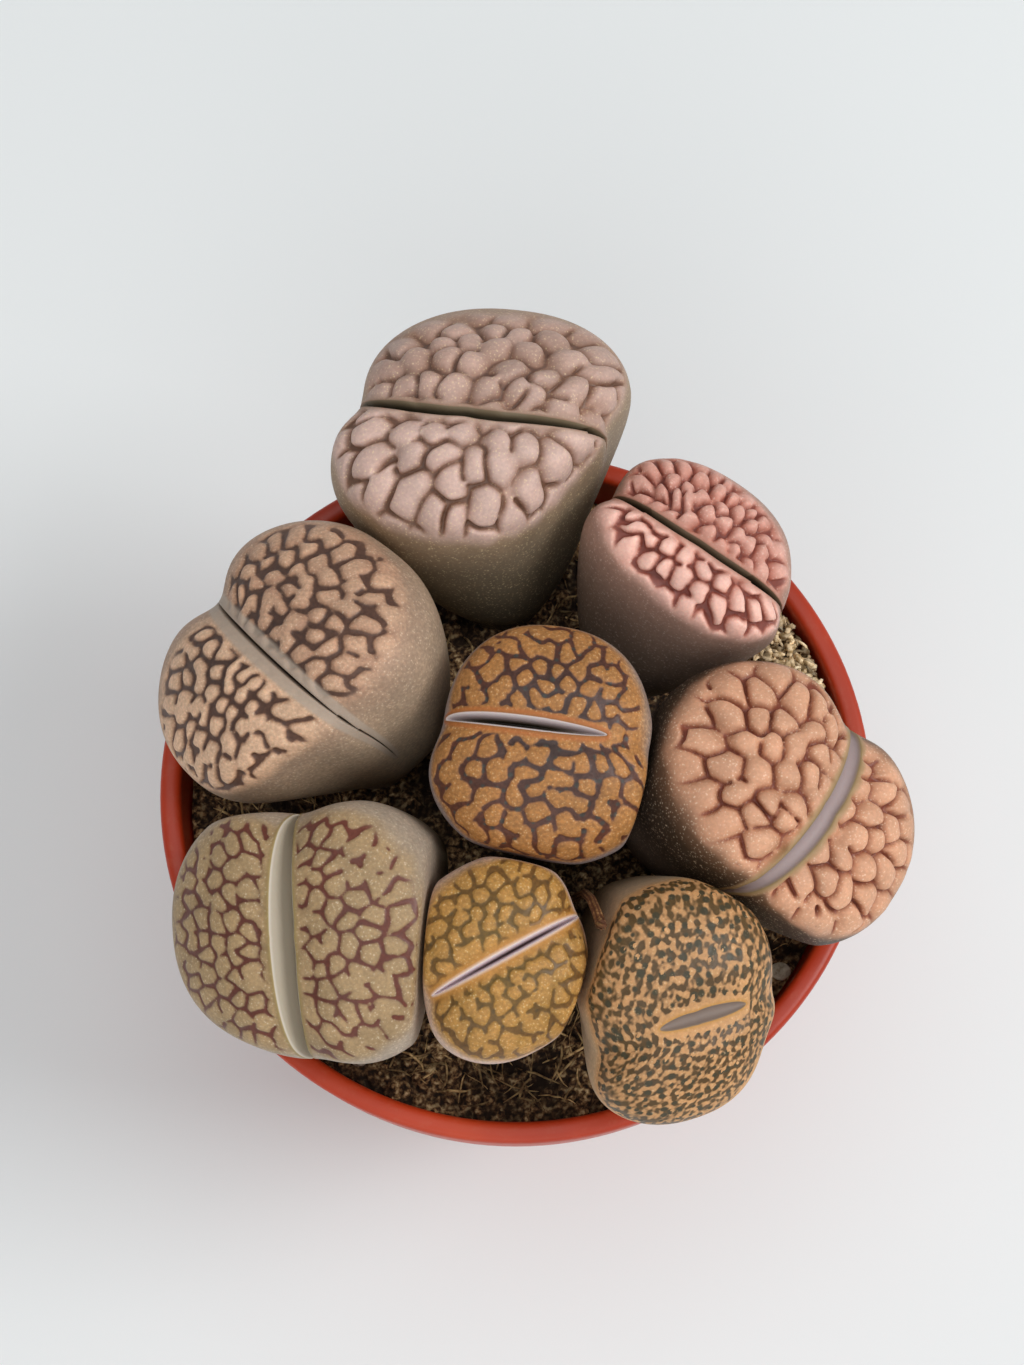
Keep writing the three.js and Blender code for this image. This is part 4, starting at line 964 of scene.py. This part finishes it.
fibre_random = np.random.default_rng(5)
fibres = []
while len(fibres) < FIBRE_COUNT:
    turn = fibre_random.uniform(0, 2 * math.pi)
    reach = FIBRE_REACH * math.sqrt(fibre_random.uniform(0.3, 1))
    start_x, start_y = reach * math.cos(turn), reach * math.sin(turn)
    heading, bend = fibre_random.uniform(0, 2 * math.pi), fibre_random.normal(0, 0.5)
    length, radius = fibre_random.uniform(1.5, 6.0), fibre_random.uniform(0.06, 0.2)
    path_x, path_y = [start_x], [start_y]
    for step in range(FIBRE_STEPS):
        heading += bend / FIBRE_STEPS + fibre_random.normal(0, 0.12)
        path_x.append(path_x[-1] + length / FIBRE_STEPS * math.cos(heading))
        path_y.append(path_y[-1] + length / FIBRE_STEPS * math.sin(heading))
    path_x, path_y = np.array(path_x), np.array(path_y)
    clear = [np.hypot(path_x - x, path_y - y).min() > taken + 0.8 for x, y, taken in IN_THE_WAY]
    if not all(clear) or np.hypot(path_x, path_y).max() > FIBRE_LIMIT:
        continue
    slope = np.linspace(-1, 1, FIBRE_STEPS + 1)
    lift = fibre_random.uniform(0.0, 0.5) + np.abs(fibre_random.normal(0, 0.3)) * slope
    path_z = soil_height(path_x, path_y) + lift + 0.4 * radius
    fibres.append((list(zip(path_x, path_y, path_z)), FIBRE_TAPER * radius))
dry_peat = fibre_finish("dry_peat_fibre", "#6a4526", "#e6c690", 0.9 / MM)
soil_fibres = strand_piece("soil_fibres", dry_peat, fibres, 4)
mount(soil_fibres, "soil")

# ---------------------------------------------------------------- dry moss
# Straw-coloured dead sphagnum moss, heaped on the soil at the right: short strands lie loose
# in a band along the pot's wall, up to its rim, with a paler clump behind the cobbled plant.
# middle: the way to a heap; span: half its length along the wall; inner: where it begins.
TUFTS = {
    "dry_moss_right": dict(
        middle=(34.0, 9.6), span=6.0, inner=31.0, height=6.6, count=560,
        tones=("#b4966a", "#fff0d2")),
    "dry_moss_inner": dict(
        middle=(31.2, 17.2), span=5.5, inner=31.5, height=6.6, count=520,
        tones=("#a88c60", "#ffe8c4")),
    "dry_moss_back": dict(
        middle=(28.2, 23.6), span=4.0, inner=33.5, height=7.0, count=300,
        tones=("#cbb88e", "#fff6e0")),
}
MOSS_REACH = 39.2  # the inside of the pot's wall
MOSS_LIFT = 0.35  # no strand comes nearer to the soil
MOSS_TAPER = np.array([0.1, 0.17, 0.24, 0.22, 0.15, 0.06])
for tuft_name, tuft in TUFTS.items():
    tuft_random = np.random.default_rng(tuft["count"])
    middle_way = math.atan2(tuft["middle"][1], tuft["middle"][0])
    strands = []
    for _ in range(tuft["count"]):
        bearing = middle_way + tuft_random.uniform(-1, 1) * tuft["span"] / MOSS_REACH
        reach = tuft_random.uniform(tuft["inner"], MOSS_REACH - 0.5)
        rising = tuft["height"] * float(smoothstep(tuft["inner"] - 1.5, tuft["inner"] + 3, reach))
        level = MOSS_LIFT + rising * (0.25 + 0.75 * tuft_random.random() ** 0.5) * 0.93
        foot = np.array([reach * math.cos(bearing), reach * math.sin(bearing), level])
        turn, curl = tuft_random.uniform(0, 2 * math.pi), tuft_random.uniform(-2.5, 2.5)
        length = tuft_random.uniform(1.0, 2.6)
        steps = np.linspace(0, 1, 6)
        path = [foot]
        for way, step in zip(turn + curl * steps, steps[1:]):
            out = np.array([math.cos(way), math.sin(way), 0.7 - 1.4 * step])
            path.append(path[-1] + out * length / 5)
        path = np.array(path)
        far = np.hypot(path[:, 0], path[:, 1])
        path[:, :2] *= np.minimum(1, MOSS_REACH / far)[:, None]
        path[:, 2] = SOIL_LEVEL + np.clip(path[:, 2], MOSS_LIFT, tuft["height"])
        strands.append((path, MOSS_TAPER * tuft_random.uniform(0.8, 1.9)))
    straw = fibre_finish(tuft_name + "_straw", *tuft["tones"], 1.5 / MM)
    moss = strand_piece(tuft_name + "_tuft", straw, strands, 5)
    mount(moss, tuft_name)

# ---------------------------------------------------------------- grit
# Two pale grains of quartz grit that lie on the soil, rounded and lightly dented.
PEBBLES = {
    "grit_right": dict(middle=(31.5, -21.5), size=(1.3, 1.1, 0.6), seed=3),
    "grit_front": dict(middle=(-18.5, -32.0), size=(1.0, 0.8, 0.5), seed=4),
}


def quartz(name):
    """Weathered quartz: off-white and matt, clouded with brown stains."""
    made, tree, shader, place = new_material(name)
    stain = add(tree, "ShaderNodeTexNoise", None,
                {"Vector": place, "Scale": 1.2 / MM, "Detail": 4.0})
    tone = add(tree, "ShaderNodeValToRGB", None, {0: stain},
               [(0.3, "#7a6a55"), (0.5, "#c2b8a4"), (0.7, "#e0dacb")])
    tree.links.new(tone, shader.inputs["Base Color"])
    shader.inputs["Roughness"].default_value = 0.6
    shader.inputs["IOR"].default_value = 1.54
    return made


for pebble_name, pebble in PEBBLES.items():
    shape = bmesh.new()
    bmesh.ops.create_icosphere(shape, subdivisions=4, radius=1)
    stone = make_piece(pebble_name + "_pebble", shape, quartz(pebble_name + "_quartz"))
    round_places = places_of(stone.data)
    dents = 1 + 0.12 * ripples(round_places[:, 0] + round_places[:, 2], round_places[:, 1],
                               1.3, pebble["seed"])
    round_places *= np.minimum(dents, 1.0)[:, None] * np.array(pebble["size"])
    round_places += [*pebble["middle"], SOIL_LEVEL + GAP + pebble["size"][2]]
    move_places(stone.data, round_places * MM)
    mount(stone, pebble_name)

# ---------------------------------------------------------------- flower stalk
# The dry stalk of an old flower between the golden and the spotted plant: cinnamon brown,
# fluted lengthwise, its top torn into two prongs.
STALK_PATH = [(6, -14, 55), (6.1, -14, 61), (7, -14.4, 68), (7.8, -15.4, 75), (8.4, -17.4, 81),
              (8.9, -19.8, 85), (9.2, -21.6, 87.3)]
STALK_FOOT, STALK_TOP = 0.42, 0.62
STALK_SIDES = 36
STALK_RINGS = 60
STALK_FLUTES = 7


def dry_stalk():
    """Dead flower stalk: cinnamon brown, matt and mottled, darker in the grooves between its
    flutes.
    """
    made, tree, shader, place = new_material("dry_flower_stalk")
    streak = add(tree, "ShaderNodeTexNoise", None,
                 {"Vector": place, "Scale": 1.8 / MM, "Detail": 4.0})
    tone = add(tree, "ShaderNodeValToRGB", None, {0: streak},
               [(0.3, "#5c3a20"), (0.5, "#8e6238"), (0.7, "#c89c64")])
    flute = add(tree, "ShaderNodeAttribute", {"attribute_name": "flute"}, output="Fac")
    colour = add(tree, "ShaderNodeMix", MIX, {0: flute, 6: "#5a2f17", 7: tone}, output=2)
    tree.links.new(colour, shader.inputs["Base Color"])
    shader.inputs["Roughness"].default_value = 0.8
    return made


stalk_shape = bmesh.new()
bmesh.ops.create_grid(stalk_shape, x_segments=STALK_SIDES, y_segments=STALK_RINGS, size=1)
stalk = make_piece("flower_stalk_dry", stalk_shape, dry_stalk())
stalk_net = places_of(stalk.data)
stalk_turn, stalk_share = (stalk_net[:, 0] + 1) * math.pi, (stalk_net[:, 1] + 1) / 2
stalk_line = np.array(STALK_PATH, float)
stalk_at = stalk_share * (len(stalk_line) - 1)
stalk_middle = np.column_stack([
    np.interp(stalk_at, range(len(stalk_line)), stalk_line[:, axis]) for axis in range(3)])
flutes = 0.5 + 0.5 * np.cos(stalk_turn * STALK_FLUTES)
stalk_radius = (STALK_FOOT + (STALK_TOP - STALK_FOOT) * stalk_share) * (0.82 + 0.18 * flutes)
torn = 1.1 * np.abs(np.sin(stalk_turn)) * smoothstep(0.93, 1.0, stalk_share)
frayed = torn + 0.2 * np.sin(stalk_turn * 9) * (torn > 0)
stalk_places = stalk_middle + np.column_stack([
    stalk_radius * np.cos(stalk_turn), stalk_radius * np.sin(stalk_turn), frayed])
move_places(stalk.data, stalk_places * MM)
stalk_mesh = bmesh.new()
stalk_mesh.from_mesh(stalk.data)
bmesh.ops.remove_doubles(stalk_mesh, verts=stalk_mesh.verts, dist=0.002 * MM)
bmesh.ops.holes_fill(stalk_mesh, edges=[edge for edge in stalk_mesh.edges if edge.is_boundary])
bmesh.ops.recalc_face_normals(stalk_mesh, faces=stalk_mesh.faces)
stalk_mesh.to_mesh(stalk.data)
stalk_mesh.free()
stalk_left = places_of(stalk.data) / MM
middle_x, middle_y = (np.interp(stalk_left[:, 2], stalk_line[:, 2], stalk_line[:, axis])
                      for axis in (0, 1))
stalk_turn = np.arctan2(stalk_left[:, 1] - middle_y, stalk_left[:, 0] - middle_x)
store(stalk.data, "flute", 0.5 + 0.5 * np.cos(stalk_turn * STALK_FLUTES))
mount(stalk, "flower_stalk")

# ---------------------------------------------------------------- floor, light and camera
# A plain pale floor under three soft lights and an even sky, and a camera almost straight
# above. The camera's place was fitted to the pot's rim.
floor_shape = bmesh.new()
bmesh.ops.create_grid(floor_shape, x_segments=1, y_segments=1, size=1.5)
floor_finish, floor_tree, floor_shader, floor_place = new_material("pale_matt_board")
floor_noise = add(floor_tree, "ShaderNodeTexNoise", None,
                  {"Vector": floor_place, "Scale": 0.008 / MM})
floor_tone = add(floor_tree, "ShaderNodeValToRGB", None, {0: floor_noise},
                 [(0.0, "#ebf0f0"), (1.0, "#f0f4f4")])
floor_tree.links.new(floor_tone, floor_shader.inputs["Base Color"])
floor_shader.inputs["Roughness"].default_value = 0.9
floor = make_piece("floor", floor_shape, floor_finish)


def soft_light(name, place, target, size, power):
    """A square area light that looks at the target."""
    lamp = bpy.data.lights.new(name, "AREA")
    lamp.size = size
    lamp.energy = power
    holder = bpy.data.objects.new(name, lamp)
    holder.location = place
    holder.rotation_euler = (Vector(target) - Vector(place)).to_track_quat("-Z", "Y").to_euler()
    bpy.context.scene.collection.objects.link(holder)


soft_light("key_softbox", (0.8, -0.02, 0.95), (0, 0, 0.06), 0.5, 6.6)
soft_light("front_softbox", (-0.1, -1.15, 1.05), (0, 0, 0.06), 1.2, 6.0)
soft_light("top_softbox", (-0.05, 0.1, 1.6), (0, 0, 0.06), 1.0, 4.5)
world = bpy.data.worlds.new("pale_studio")
world.use_nodes = True
sky = next(node for node in world.node_tree.nodes if node.type == "BACKGROUND")
sky.inputs["Color"].default_value = linear("#f2f2f4")
sky.inputs["Strength"].default_value = 0.38
bpy.context.scene.world = world
bpy.context.scene.view_settings.view_transform = "Standard"

CAMERA_TARGET = (-0.46, 12.47, 65.0)
CAMERA_DISTANCE = 300.0
CAMERA_ELEVATION = math.radians(73.56)
FOCAL_PIXELS = 2489.6
FRAME_HEIGHT = 1365
lens = bpy.data.cameras.new("photo_camera")
lens.sensor_fit = "VERTICAL"
lens.sensor_height = 24
lens.lens = 24 * FOCAL_PIXELS / FRAME_HEIGHT
lens.clip_start = 0.01
camera = bpy.data.objects.new("photo_camera", lens)
camera.location = Vector((
    CAMERA_TARGET[0],
    CAMERA_TARGET[1] - CAMERA_DISTANCE * math.cos(CAMERA_ELEVATION),
    CAMERA_TARGET[2] + CAMERA_DISTANCE * math.sin(CAMERA_ELEVATION),
)) * MM
camera.rotation_euler = (math.pi / 2 - CAMERA_ELEVATION, 0, 0)
bpy.context.scene.collection.objects.link(camera)
bpy.context.scene.camera = camera
